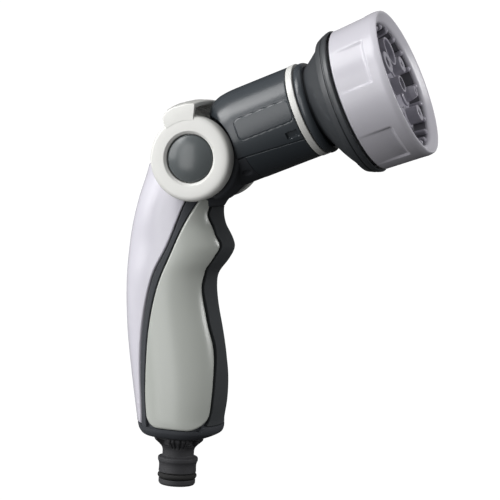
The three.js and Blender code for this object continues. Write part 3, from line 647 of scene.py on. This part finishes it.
def make_tail():
    """The quick-connect tail, with windows and small ribs in its flared collar."""

    def shape(radius, angle, distance):
        outside = ease(radius, 6.0, 6.5)
        window = 1 - ease(np.degrees(turn_gap(angle, TAIL_WINDOW_ANGLES)), 17, 19)
        window = window * ease(distance, 17.0, 17.3) * (1 - ease(distance, 19.9, 20.1))
        rib = 1 - ease(np.degrees(turn_gap(angle, TAIL_RIB_ANGLES)), 2.5, 4.5)
        between = ease(distance, 15.4, 16.2) * (1 - ease(distance, 20.2, 20.5))
        web = (1 - rib) * between
        away = ease(np.degrees(turn_gap(angle, TAIL_WINDOW_ANGLES)), 24, 27)
        cut = np.maximum(window * (radius - 7.0), web * away * np.minimum(radius - 6.9, 0.7))
        return radius - outside * np.maximum(cut, 0)

    return turned("tail", finer(rounded(TAIL, steps=6), 0.22), 288, shape)


def make_tail_seal():
    """A torus: a round section carried round the tail's groove."""
    turn = np.linspace(0, 2 * np.pi, 24, endpoint=False)
    section = np.stack([7.12 + 1.2 * np.cos(turn), 4.0 + 1.2 * np.sin(turn)], -1)
    return turned("tail", section, 96)


# ---- The thumb lever ---------------------------------------------------------------------------

RING_FACE = 23.0
PAD_SIDE = [
    [87, 22.3], [94, 22.3], [103, 21.9], [114, 21.8], [123, 21.2], [128, 20.0], [131.5, 17.4],
]
PAD_CROWN = [[87, 2.0], [98, 2.3], [110, 2.7], [121, 2.9], [131.5, 2.4]]
PAD_FRONT = 87.0


def make_ring(side, rim):
    """One of the lever's rings: a flat face, a rounded outer edge and a chamfer round the cap."""
    profile = np.array(rounded(
        [
            (1.9, 17.5, 0.1), (rim - 0.5, 17.5, 0.3), (rim, 18.0, 0.3), (rim, 20.9, 1.4),
            (rim - 0.8, 22.7, 1.4), (rim - 3.1, RING_FACE, 1.8), (11.2, RING_FACE, 0.2),
            (10.15, 22.1, 0.2), (10.15, 19.3, 0.1), (1.9, 19.3, 0.1),
        ],
        steps=8,
    ))
    return turned("hub", profile * [1, side], 168)


def make_pad():
    """The thumb pad and its arms: rows across the lever, each a loop in radius and angle round the
    axle. The top rises to a crown in the middle, its border is rounded and it has grip ridges. The
    pad is a shell: its underside follows the top 1.7 mm below it, clear of the hub, and its side
    walls meet the rings."""
    half = np.concatenate([np.linspace(0, 21.3, 40), 21.3 + 1.7 * crowded(14, 0.3)])
    inner = np.concatenate([np.full(40, 1.0), np.full(14, 0.0)])
    across = np.concatenate([-half[:0:-1], half])[:, None]
    bridging = np.concatenate([inner[:0:-1], inner])[:, None]
    crown = 1 - (across / RING_FACE) ** 2
    rear = 131.5 + 3.3 * np.sqrt(np.maximum(crown, 0))
    u = crowded(110, 0.8)[None]
    theta = PAD_FRONT + (rear - PAD_FRONT) * u
    nominal = 87 + 44.5 * u
    side_edge = RING_FACE - np.abs(across)
    front_edge = (theta - PAD_FRONT) * np.pi / 180 * 22
    rear_edge = (rear - theta) * np.pi / 180 * 20
    near = np.minimum(side_edge, np.minimum(front_edge, rear_edge))
    wave = np.maximum(np.sin((theta - 98) / 4.2 * 2 * np.pi), 0)
    window = ease(theta, 97.5, 99) * (1 - ease(theta, 122, 124)) * ease(side_edge, 1.2, 2.4)
    top = smooth(PAD_SIDE, nominal) + smooth(PAD_CROWN, nominal) * crown + 0.32 * wave * window
    hollow = np.maximum(top - 1.7, 18.3) * bridging + 15.6 * (1 - bridging)
    top = np.maximum(top - roll_off(near, 0.7), hollow + 0.4)
    under = hollow[:, ::-1]
    theta_under = theta[:, ::-1]
    radius = np.concatenate([top, under], 1)
    angle = np.radians(np.concatenate([theta, theta_under], 1))
    return skin(place("hub", radius, angle, across))


def make_cap(side):
    """A domed cap: its height falls with the radius to the power 2.3, then rounds over."""
    r = np.linspace(0, 9.3, 30)
    dome = np.stack([r, 24.0 - 1.9 * (r / 9.3) ** 2.3], -1)
    rest = rounded(
        [(9.3, 22.1, 0), (9.75, 21.6, 0.3), (9.8, 19.7, 0.2), (8.6, 19.7, 0.1), (8.6, 21.2, 0.2),
         (0, 22.0, 0)],
        closed=False, steps=5,
    )
    return turned("hub", np.concatenate([dome, rest[4:]]) * [1, side], 120)


# ---- The barrel --------------------------------------------------------------------------------

BARREL_RADIUS = 19.4
BARREL_PROFILE = [[9, 14.6], [11.5, 17.2], [14.5, 18.6], [18, 19.2], [22, BARREL_RADIUS], [60, BARREL_RADIUS]]
BARREL_FRONT = 46.6
POCKET = 18.3
REAR_SLOPE = math.tan(math.radians(58.5))
PANEL_MARK = (34.0, 12.2, 178.5, 4.6)  # engraved outline: centre and half length, angle, half height


def parting_up(along):
    """Height of the shells' parting line, which falls a little towards the front."""
    return -7.1 - 0.07 * (along - 20)


def engraving(along, angle, radius):
    """Depth of a fine line engraved along the outline of a rounded rectangle."""
    centre, half_length, middle, half_height = PANEL_MARK
    x = np.abs(along - centre) - (half_length - 2.2)
    y = np.abs((angle - np.radians(middle)) * radius) - (half_height - 2.2)
    outside = np.hypot(np.maximum(x, 0), np.maximum(y, 0)) + np.minimum(np.maximum(x, y), 0) - 2.2
    return 0.16 * (1 - ease(np.abs(outside), 0.05, 0.24))


def make_upper_shell():
    """The upper shell: part of a cylinder that narrows at the back, between the parting lines, cut
    by the lever's round clearance and by the sloping plane in front of the thumb pad."""
    v, t = np.linspace(0, 1, 330)[:, None], crowded(120, 0.5)[None]
    low = np.arcsin((parting_up(30) + 0.08 - BARREL_LIFT) / BARREL_RADIUS)
    angle = low + (np.pi - 2 * low) * v
    start = np.full(angle.shape, 15.0)
    for _ in range(80):
        up = BARREL_LIFT + smooth(BARREL_PROFILE, start) * np.sin(angle)
        cut = np.sqrt(np.maximum(POCKET**2 - up**2, 0))
        start = 0.6 * start + 0.4 * np.clip(np.maximum(cut, up / REAR_SLOPE), 9.5, 20)
    along = start + (BARREL_FRONT - start) * t
    # Lean the lowest points so that the parting line falls towards the front.
    lean = np.arcsin((parting_up(along) + 0.08 - BARREL_LIFT) / smooth(BARREL_PROFILE, along))
    angle = lean + (np.pi - 2 * lean) * v
    near = np.minimum(along - start, BARREL_FRONT - along)
    near = np.minimum(near, BARREL_RADIUS * np.minimum(angle - lean, np.pi - lean - angle))
    depth = roll_off(np.maximum(near, 0), 0.45) + engraving(along, angle, BARREL_RADIUS)
    slot = np.maximum(np.abs(along - 43.0) / 2.6, np.abs(np.degrees(angle) - 207.5) / 4.5)
    depth = depth + 1.1 * (1 - ease(slot, 0.86, 1.0))
    radius = smooth(BARREL_PROFILE, along)
    return plate(place("barrel", radius - depth, angle, along),
                 place("barrel", radius - 2.3, angle, along))


def make_lower_shell():
    """The lower shell: the rest of the cylinder, from the neck to the trim ring."""
    v, t = crowded(120, 0.8)[:, None], crowded(90, 0.8)[None]
    along = 20.7 + (BARREL_FRONT - 20.7) * t
    top = np.pi - np.arcsin((parting_up(along) - 0.08 - BARREL_LIFT) / BARREL_RADIUS)
    angle = top + (3 * np.pi - 2 * top) * v
    return inlay(lambda depth: place("barrel", BARREL_RADIUS - depth, angle, along), 0.3, 2.3)


def make_trim_ring():
    profile = [(17.2, 46.9, 0.1), (19.6, 46.9, 0.35), (19.6, 49.7, 0.35), (17.2, 49.7, 0.1)]
    return turned("barrel", rounded(profile, steps=5), 168)


def make_lock_ring():
    profile = [
        (17.4, 50.0, 0.1), (18.9, 50.0, 0.3), (19.4, 50.9, 0.6), (19.4, 52.4, 0.9),
        (18.6, 53.6, 0.6), (17.4, 53.6, 0.1),
    ]
    points, quads = turned("barrel", rounded(profile, steps=6), 168)
    return points - 0.4 * UP, quads


# ---- The head ----------------------------------------------------------------------------------

BELL_OUTER = [
    [50, 16.9], [53.9, 16.9], [54.6, 17.5], [56.5, 19.8], [59, 22.8], [61.4, 25.4], [63.0, 27.1],
]
BELL_DROP = [[50, 3.4], [54, 3.3], [56.5, 2.0], [59, 0.7], [62.8, -0.5], [66, -0.55], [69, -0.6]]
BELL_LIP = [(63.05, 27.4, 0.1), (63.3, 28.5, 0.25), (65.9, 29.75, 0.3), (66.1, 29.4, 0.15),
            (66.5, 29.5, 0.15), (66.8, 30.05, 0.2), (68.5, 30.5, 0.4), (69.0, 30.1, 0.2)]
BELL_INNER = [(67.5, 28.0, 0.3), (67.3, 26.9, 0.2), (63.7, 26.9, 0.2), (62.6, 25.2, 0.4),
              (59, 22.0, 0.5), (54.4, 15.0, 0.5), (50, 15.0, 0.2)]


def make_bell():
    """The flared bell: round sections whose centres drop from the barrel's axis to the head's. A
    smooth flare ends in a stepped lip with a fine groove."""
    at = np.linspace(50, 63.0, 60)
    flare = np.stack([at, smooth(BELL_OUTER, at)], -1)
    rest = rounded(BELL_LIP + BELL_INNER, steps=5)
    line = np.concatenate([flare, rest])
    angle = np.linspace(0, 2 * np.pi, 192, endpoint=False)[None]
    along, radius = line[:, :1], line[:, 1:]
    drop = smooth(BELL_DROP, along) - BARREL_LIFT
    points = place("barrel", radius, angle, along) + drop[..., None] * UP
    return skin(points, ring=True)


BEZEL = [
    (26.3, 69.9, 0.2), (29.1, 69.6, 0.3), (29.9, 70.3, 0.4), (30.7, 86, 2.0), (30.95, 88.9, 1.2),
    (30.5, 90.9, 0.7), (29.7, 90.9, 0.7), (26.7, 88.9, 0.9), (26.3, 87.8, 0.4),
]
PAD_MIDDLES = np.radians(160 + 72 * np.arange(5))


def make_bezel():
    """The pattern ring: a turned rim with five shallow thumb pads pressed into its side. Each pad's
    floor keeps one radius, so it deepens towards the front, and its border is a short slope."""

    def shape(radius, angle, distance):
        gap = np.degrees(turn_gap(angle, PAD_MIDDLES))
        inside = (1 - ease(gap, 16.2, 18.4)) * (1 - ease(distance, 83.6, 85.0))
        floor = 29.78 - 0.15 * ease(distance, 70, 84)
        outside = ease(radius, 28.4, 28.9)
        return radius - outside * inside * np.maximum(radius - floor, 0)

    return turned("head", finer(rounded(BEZEL, steps=8), 0.5), 420, shape)


FACE_FLOOR = 84.0
PATTERN_CIRCLE = 14.2


def at_pattern(number, profile, segments=56):
    """A turned nozzle at one of the seven places on the pattern circle."""
    angle = np.radians(90 - 360 / 7 * number)
    points, quads = turned("head", profile, segments)
    shift = PATTERN_CIRCLE * (np.cos(angle) * ACROSS + np.sin(angle) * UP)
    return points + shift, quads


def bored(outline, bore, floor, lip=0.25):
    """A nozzle's closed profile: its outline from the face forward, then down its bore."""
    front = outline[-1][1]
    inner = [(bore + 0.3, front, 0.1), (bore, front - 0.35, 0.1), (bore, floor, 0.1), (0.0, floor, 0)]
    line = [(0.0, 82.5, 0)] + [(r, s, lip) for r, s in outline] + inner
    return rounded(line, steps=5, closed=False)


NOZZLES = [
    ([(6.1, 82.5), (6.0, 88.3)], 5.2, 84.3),
    ([(4.6, 82.5), (4.6, 84.5), (3.8, 84.7), (3.4, 88.7)], 1.2, 85.0),
    ([(4.4, 82.5), (4.4, 84.8), (3.2, 85.0), (2.9, 87.6), (2.2, 89.8)], 1.1, 85.5),
    ([(4.7, 82.5), (4.7, 84.9), (3.5, 85.1), (3.4, 90.0)], 1.3, 85.0),
    ([(4.6, 82.5), (4.6, 84.5), (3.6, 84.7), (3.5, 86.5)], 1.2, 85.0),
    ([(4.4, 82.5), (4.4, 84.5), (3.4, 84.7), (3.4, 86.0)], 0.9, 85.0),
    ([(5.2, 82.5), (5.2, 84.4), (4.6, 84.6), (4.5, 88.7)], 2.1, 84.6),
]


def make_rib(number):
    """One rib on the face's wall: a rounded bar along the spray axis with a rounded front end."""
    t, v = np.linspace(0, 1, 16)[:, None], np.linspace(0, 2 * np.pi, 20, endpoint=False)[None]
    along = 82.0 + 6.4 * t
    shrink = np.sqrt(np.maximum(1 - ease(t, 0.86, 1.0) ** 2 * 0.85, 0))
    across = 1.0 * np.sign(np.cos(v)) * np.abs(np.cos(v)) ** 0.6 * shrink
    radial = 24.0 + 0.9 * t + 1.1 * np.sign(np.sin(v)) * np.abs(np.sin(v)) ** 0.6 * shrink
    angle = np.radians(18 * number) + across / radial
    return skin(place("head", radial, angle, along))


def make_face():
    """The spray face: a plateau with a trough round it, a boss, seven nozzles and twenty ribs."""
    disc = rounded(
        [(0, 80.9, 0), (25.9, 80.9, 0.2), (25.9, 82.6, 0.1), (20.3, 82.6, 0.3), (19.7, 84.0, 0.4),
         (0, FACE_FLOOR, 0)],
        closed=False, steps=5,
    )
    boss = rounded([(2.8, 83.2, 0.1), (4.6, 83.2, 0.1), (4.6, 84.7, 0.25), (3.7, 84.9, 0.2),
                    (3.65, 88.6, 0.25), (2.8, 88.6, 0.2)], steps=4)
    shells = [turned("head", finer(disc, 1.0, closed=False), 160), turned("head", boss, 64)]
    shells += [at_pattern(i, bored(*nozzle)) for i, nozzle in enumerate(NOZZLES)]
    return shells + [make_rib(i) for i in range(20)]


def make_shade_lining():
    """A dark lining for the trough between the ribs, its floor and the wall behind them: painted shade in the
    recess, darker than the face's own plastic.
    """
    profile = [(20.4, 82.62, 0.1), (24.9, 82.62, 0.3), (25.6, 87.4, 0.1), (26.15, 87.4, 0.1),
               (26.15, 81.0, 0.1), (20.4, 81.0, 0.1)]
    return turned("head", rounded(profile, steps=4), 160)


def make_head_screw():
    """The screw down the boss: a pan head with a six-lobed recess."""
    profile = rounded(
        [(0, 72, 0), (1.3, 72.4, 0.1), (1.3, 83.5, 0.05), (2.3, 83.5, 0.1), (2.3, 84.6, 0.5),
         (1.25, 85.0, 0.1), (1.2, 84.2, 0.05), (0, 84.1, 0)],
        closed=False, steps=5,
    )

    def lobes(radius, angle, distance):
        inside = ease(distance, 84.05, 84.2) * (1 - ease(radius, 1.3, 1.6))
        return radius * (1 - 0.16 * inside * (0.5 - 0.5 * np.cos(6 * angle)))

    return turned("head", profile, 72, lobes)


# ---- Sizes and colours a user may change -------------------------------------------------------


def colour(name, description, value):
    return FloatVectorProperty(
        name=name, description=description, subtype="COLOR", size=3, min=0, max=1, default=value
    )


class NozzleColours(bpy.types.PropertyGroup):
    """Base colours of the finishes."""

    silver_cover: colour("Rear cover", "Satin silver paint", (0.34, 0.34, 0.345))
    pearl_panel: colour("Side panels", "Pearl grey satin paint", (0.64, 0.66, 0.615))
    off_white: colour("Lever and trim", "Off-white moulded plastic", (0.76, 0.76, 0.73))
    dark_shell: colour("Barrel", "Dark blue-grey plastic", (0.030, 0.033, 0.037))
    dark_frame: colour("Frame", "Fine-grained dark plastic", (0.046, 0.050, 0.055))
    soft_rubber: colour("Front grip", "Dark soft overmould", (0.125, 0.130, 0.137))
    tail_plastic: colour("Hose tail", "Satin black plastic", (0.020, 0.022, 0.024))
    cap_plastic: colour("Hub caps", "Satin dark grey plastic", (0.070, 0.077, 0.082))
    silver_ring: colour("Pattern ring", "Satin silver-grey plastic", (0.40, 0.40, 0.42))
    face_plastic: colour("Spray face", "Lilac-grey plastic", (0.55, 0.54, 0.58))
    bell_rubber: colour("Bell", "Dark soft overmould", (0.040, 0.044, 0.049))
    # Painted shade: a darker grey for the trough lining between the ribs, where the face's own plastic lies
    # in shade.
    painted_trough_shade: colour("Face trough", "Dark grey between the ribs", (0.085, 0.083, 0.098))
    inner_plastic: colour("Inner parts", "Plain grey moulding", (0.30, 0.31, 0.33))
    seal_rubber: colour("Seals", "Matt black rubber", (0.012, 0.012, 0.013))
    steel: colour("Screws and springs", "Stainless steel", (0.55, 0.56, 0.57))
    floor: colour("Floor", "Pale studio floor", (0.60, 0.60, 0.60))


class NozzleSizes(bpy.types.PropertyGroup):
    """Sizes of the studio."""

    floor_drop: FloatProperty(
        name="Floor drop", description="How far the floor lies below the tail's end",
        unit="LENGTH", default=0.3, min=0,
    )
    floor_radius: FloatProperty(
        name="Floor radius", description="Radius of the round floor",
        unit="LENGTH", default=1.2, min=0.5,
    )
    lens: FloatProperty(
        name="Lens", description="Focal length of the camera in millimetres", default=133.2, min=20
    )


# ---- Operators ---------------------------------------------------------------------------------


class NOZZLE_OT_covers(bpy.types.Operator):
    """Make the rear cover, the two side panels and the front grip"""

    bl_idname = "nozzle.covers"
    bl_label = "Covers and Grip"

    def execute(self, context):
        make_piece("rear_cover_skin", [make_cover()], "silver_cover", "handle", "rear_cover")
        panel = [make_panel()]
        make_piece("side_panel_right_skin", panel, "pearl_panel", "handle", "side_panel_right")
        make_piece("side_panel_left_skin", mirrored(panel), "pearl_panel", "handle",
                   "side_panel_left")
        make_piece("front_grip_skin", [make_grip()], "soft_rubber", "handle", "front_grip")
        return {"FINISHED"}


class NOZZLE_OT_frame_halves(bpy.types.Operator):
    """Make the two frame halves, with the foot, the neck and the hub"""

    bl_idname = "nozzle.frame_halves"
    bl_label = "Frame Halves"

    def execute(self, context):
        half = [make_core(), make_strip(), make_saddle()]
        right = half + [make_hub_drum(-1, 17.0, 2.2)]
        left = mirrored(half) + [make_hub_drum(1, 15.4, 0.6)]
        make_piece("frame_right_half", right, "dark_frame", "handle", "frame_right")
        make_piece("frame_left_half", left, "dark_frame", "handle", "frame_left")
        return {"FINISHED"}


class NOZZLE_OT_tail(bpy.types.Operator):
    """Make the hose tail and its O-ring"""

    bl_idname = "nozzle.tail"
    bl_label = "Hose Tail"

    def execute(self, context):
        make_piece("hose_tail_body", [make_tail()], "tail_plastic", "handle", "hose_tail")
        make_piece("tail_seal", [make_tail_seal()], "seal_rubber", "handle", "tail_o_ring")
        return {"FINISHED"}


class NOZZLE_OT_lever(bpy.types.Operator):
    """Make the thumb lever and the hub caps"""

    bl_idname = "nozzle.lever"
    bl_label = "Thumb Lever"

    def execute(self, context):
        rings = [make_ring(-1, 17.7), make_ring(1, 16.5), make_pad()]
        make_piece("thumb_lever_body", rings, "off_white", "lever", "thumb_lever")
        for side, name in ((-1, "right"), (1, "left")):
            make_piece(f"hub_cap_{name}_dome", [make_cap(side)], "cap_plastic", "lever",
                       f"hub_cap_{name}")
        return {"FINISHED"}


class NOZZLE_OT_barrel(bpy.types.Operator):
    """Make the barrel shells, the trim ring and the lock ring"""

    bl_idname = "nozzle.barrel"
    bl_label = "Barrel"

    def execute(self, context):
        for name, shape, finish, node in (
            ("barrel_upper", make_upper_shell, "dark_shell", "barrel_upper_shell"),
            ("barrel_lower", make_lower_shell, "dark_shell", "barrel_lower_shell"),
            ("trim_ring", make_trim_ring, "off_white", "barrel_trim_ring"),
            ("lock_ring", make_lock_ring, "dark_shell", "bell_lock_ring"),
        ):
            make_piece(name, [shape()], finish, "handle", node)
        return {"FINISHED"}


class NOZZLE_OT_head(bpy.types.Operator):
    """Make the bell, the pattern ring, the spray face and its screw"""

    bl_idname = "nozzle.head"
    bl_label = "Head"

    def execute(self, context):
        make_piece("bell_skin", [make_bell()], "bell_rubber", "handle", "bell",
                   slot="soft_rubber")
        make_piece("pattern_ring", [make_bezel()], "silver_ring", "spray_head", "bezel_ring")
        make_piece("spray_face_body", make_face(), "face_plastic", "spray_head", "spray_face")
        # The trough's dark lining is painted shade on the face plastic's slot.
        make_piece("spray_face_painted_shade", [make_shade_lining()], "painted_trough_shade", "spray_head",
                   slot="face_plastic")
        make_piece("head_screw_body", [make_head_screw()], "steel", "spray_head", "head_screw")
        return {"FINISHED"}


class NOZZLE_OT_inner_parts(bpy.types.Operator):
    """Give the parts inside their finishes"""

    bl_idname = "nozzle.inner_parts"
    bl_label = "Inner Parts"

    def execute(self, context):
        for node, slot in NODE_SLOTS.items():
            mesh = frame["nodes"][node].data
            mesh.materials.clear()
            mesh.materials.append(finish_for(slot))
        return {"FINISHED"}


CAMERA_PLACE = Vector((276.042, -726.462, 158.413)) * MM
CAMERA_AIM = Vector((27.349, 0.0, 101.769)) * MM
CAMERA_ROLL = math.radians(3.037)


def aimed(place_at, aim, roll=0.0):
    """The matrix of a camera or light that looks from one point at another."""
    back = (place_at - aim).normalized()
    right = Vector((0, 0, 1)).cross(back).normalized()
    up = back.cross(right)
    turned_right = right * math.cos(roll) + up * math.sin(roll)
    turned_up = up * math.cos(roll) - right * math.sin(roll)
    matrix = Matrix((turned_right, turned_up, back)).transposed().to_4x4()
    matrix.translation = place_at
    return matrix


# Soft lights: name, where, size, power in watts.
# The way the studio's own light comes from, its range of angles (as cosines), its dimmest and
# brightest strength, and how bright the camera sees it.
ROOM_SIDE = (-0.60, -0.70, 0.30)
ROOM_FALL = {"From Min": -0.2, "From Max": 0.9, "To Min": 0.03, "To Max": 0.42}
ROOM_SEEN = 1.05
LIGHTS = [
    ("key_left", (-0.85, -0.45, 0.50), (0.60, 0.90), 5.6),
    ("upper_left", (-0.62, -0.38, 0.80), (0.50, 0.60), 4.2),
    ("front_left", (-0.45, -0.98, 0.20), (0.50, 0.95), 4.2),
    ("top", (0.05, 0.05, 1.05), (0.70, 0.50), 0.6),
    ("rim_right", (0.95, 0.10, 0.50), (0.30, 0.60), 6.0),
    ("back_fill", (0.10, 1.10, 0.60), (0.90, 0.80), 0.5),
]


class NOZZLE_OT_stage(bpy.types.Operator):
    """Make the floor, the lights and the camera"""

    bl_idname = "nozzle.stage"
    bl_label = "Stage"

    def execute(self, context):
        scene = context.scene
        sizes = scene.nozzle_sizes
        turn = np.linspace(0, 2 * np.pi, 96, endpoint=False)[None]
        radius = np.linspace(0.001, sizes.floor_radius, 12)[:, None] / MM
        top = place("tail", radius, turn, -sizes.floor_drop / MM)
        under = top[::-1] - [0, 0, 4.0]
        points, quads = skin(np.concatenate([top, under]), ring=True)
        mesh = bpy.data.meshes.new("floor")
        mesh.from_pydata(points * MM, [], quads)
        floor = bpy.data.objects.new("floor", mesh)
        scene.collection.objects.link(floor)
        made = Finish("floor_finish")
        pale = tuple(scene.nozzle_colours.floor)
        tone = made.noise(60.0, 3.0)
        made.fill(made.surface, {
            "Base Color": made.blend(tone, tint(pale, 0.99), tint(pale, 1.01)),
            "Roughness": tone * 0.1 + 0.75,
            "Normal": made.bump((made.noise(0.6), 0.01)),
        })
        mesh.materials.append(made.material)
        floor.visible_diffuse = False
        floor.visible_glossy = False
        for name, where, size, power in LIGHTS:
            lamp = bpy.data.lights.new(name, "AREA")
            lamp.shape = "RECTANGLE"
            lamp.size, lamp.size_y = size
            lamp.energy = power
            light = bpy.data.objects.new(name, lamp)
            light.matrix_world = aimed(Vector(where), Vector((0.02, 0, 0.11)))
            light.visible_camera = False
            scene.collection.objects.link(light)
        self.make_surround(scene)
        lens = bpy.data.cameras.new("camera")
        lens.sensor_width = 36.0
        lens.lens = sizes.lens
        camera = bpy.data.objects.new("camera", lens)
        camera.matrix_world = aimed(CAMERA_PLACE, CAMERA_AIM, CAMERA_ROLL)
        scene.collection.objects.link(camera)
        scene.camera = camera
        scene.view_settings.view_transform = "Standard"
        return {"FINISHED"}

    def make_surround(self, scene):
        """A white room for the camera, which lights the nozzle more from the front left."""
        world = bpy.data.worlds.new("studio")
        scene.world = world
        world.use_nodes = True
        made = NodeTree(world.node_tree)
        facing = made.add("ShaderNodeTexCoord").outputs["Generated"]
        side = {0: facing, 1: ROOM_SIDE}
        lean = made.add("ShaderNodeVectorMath", {"operation": "DOT_PRODUCT"}, side).outputs["Value"]
        fall = {"Value": lean, **ROOM_FALL}
        ramp = made.add("ShaderNodeMapRange", {"interpolation_type": "SMOOTHSTEP"}, fall).outputs[0]
        seen = made.add("ShaderNodeLightPath").outputs["Is Camera Ray"]
        choice = made.add("ShaderNodeMix", None, {0: seen, 2: ramp, 3: ROOM_SEEN}).outputs[0]
        light = made.add("ShaderNodeBackground", None, {"Color": (1, 1, 1, 1), "Strength": choice})
        made.add("ShaderNodeOutputWorld", None, {"Surface": light.outputs[0]})


OPERATORS = (
    NOZZLE_OT_covers,
    NOZZLE_OT_frame_halves,
    NOZZLE_OT_tail,
    NOZZLE_OT_lever,
    NOZZLE_OT_barrel,
    NOZZLE_OT_head,
    NOZZLE_OT_inner_parts,
    NOZZLE_OT_stage,
)


class NOZZLE_PT_sidebar(bpy.types.Panel):
    """Lists the nozzle's pieces, colours and studio"""

    bl_label = "Hose Spray Nozzle"
    bl_idname = "NOZZLE_PT_sidebar"
    bl_space_type = "VIEW_3D"
    bl_region_type = "UI"
    bl_category = "Nozzle"

    def draw(self, context):
        layout = self.layout
        for group in (context.scene.nozzle_sizes, context.scene.nozzle_colours):
            box = layout.box()
            for name in group.__annotations__:
                box.prop(group, name)
        for operator in OPERATORS:
            layout.operator(operator.bl_idname)


CLASSES = (NozzleColours, NozzleSizes, *OPERATORS, NOZZLE_PT_sidebar)

NODE_SLOTS = {
    "inlet_tube": "inner_plastic", "valve_body": "inner_plastic", "valve_spool": "inner_plastic",
    "outlet_tube": "inner_plastic", "head_carrier": "inner_plastic", "rotor_disc": "inner_plastic",
    "inlet_o_ring": "seal_rubber", "valve_seat": "seal_rubber", "outlet_o_ring": "seal_rubber",
    "spool_o_ring_right": "seal_rubber", "spool_o_ring_left": "seal_rubber",
    "port_seal": "seal_rubber", "face_gasket": "seal_rubber", "port_seal_spring": "steel",
    "detent_spring": "steel", "head_washer": "steel", "lever_screw_right": "steel",
    "lever_screw_left": "steel", "frame_screw_1": "steel", "frame_screw_2": "steel",
    "frame_screw_3": "steel", "frame_screw_4": "steel",
}


def register():
    for item in CLASSES:
        bpy.utils.register_class(item)
    bpy.types.Scene.nozzle_colours = PointerProperty(type=NozzleColours)
    bpy.types.Scene.nozzle_sizes = PointerProperty(type=NozzleSizes)


def unregister():
    del bpy.types.Scene.nozzle_sizes
    del bpy.types.Scene.nozzle_colours
    for item in reversed(CLASSES):
        bpy.utils.unregister_class(item)


def main():
    register()
    bpy.ops.nozzle.covers()
    bpy.ops.nozzle.frame_halves()
    bpy.ops.nozzle.tail()
    bpy.ops.nozzle.lever()
    bpy.ops.nozzle.barrel()
    bpy.ops.nozzle.head()
    bpy.ops.nozzle.inner_parts()
    bpy.ops.nozzle.stage()


if __name__ == "__main__":
    main()
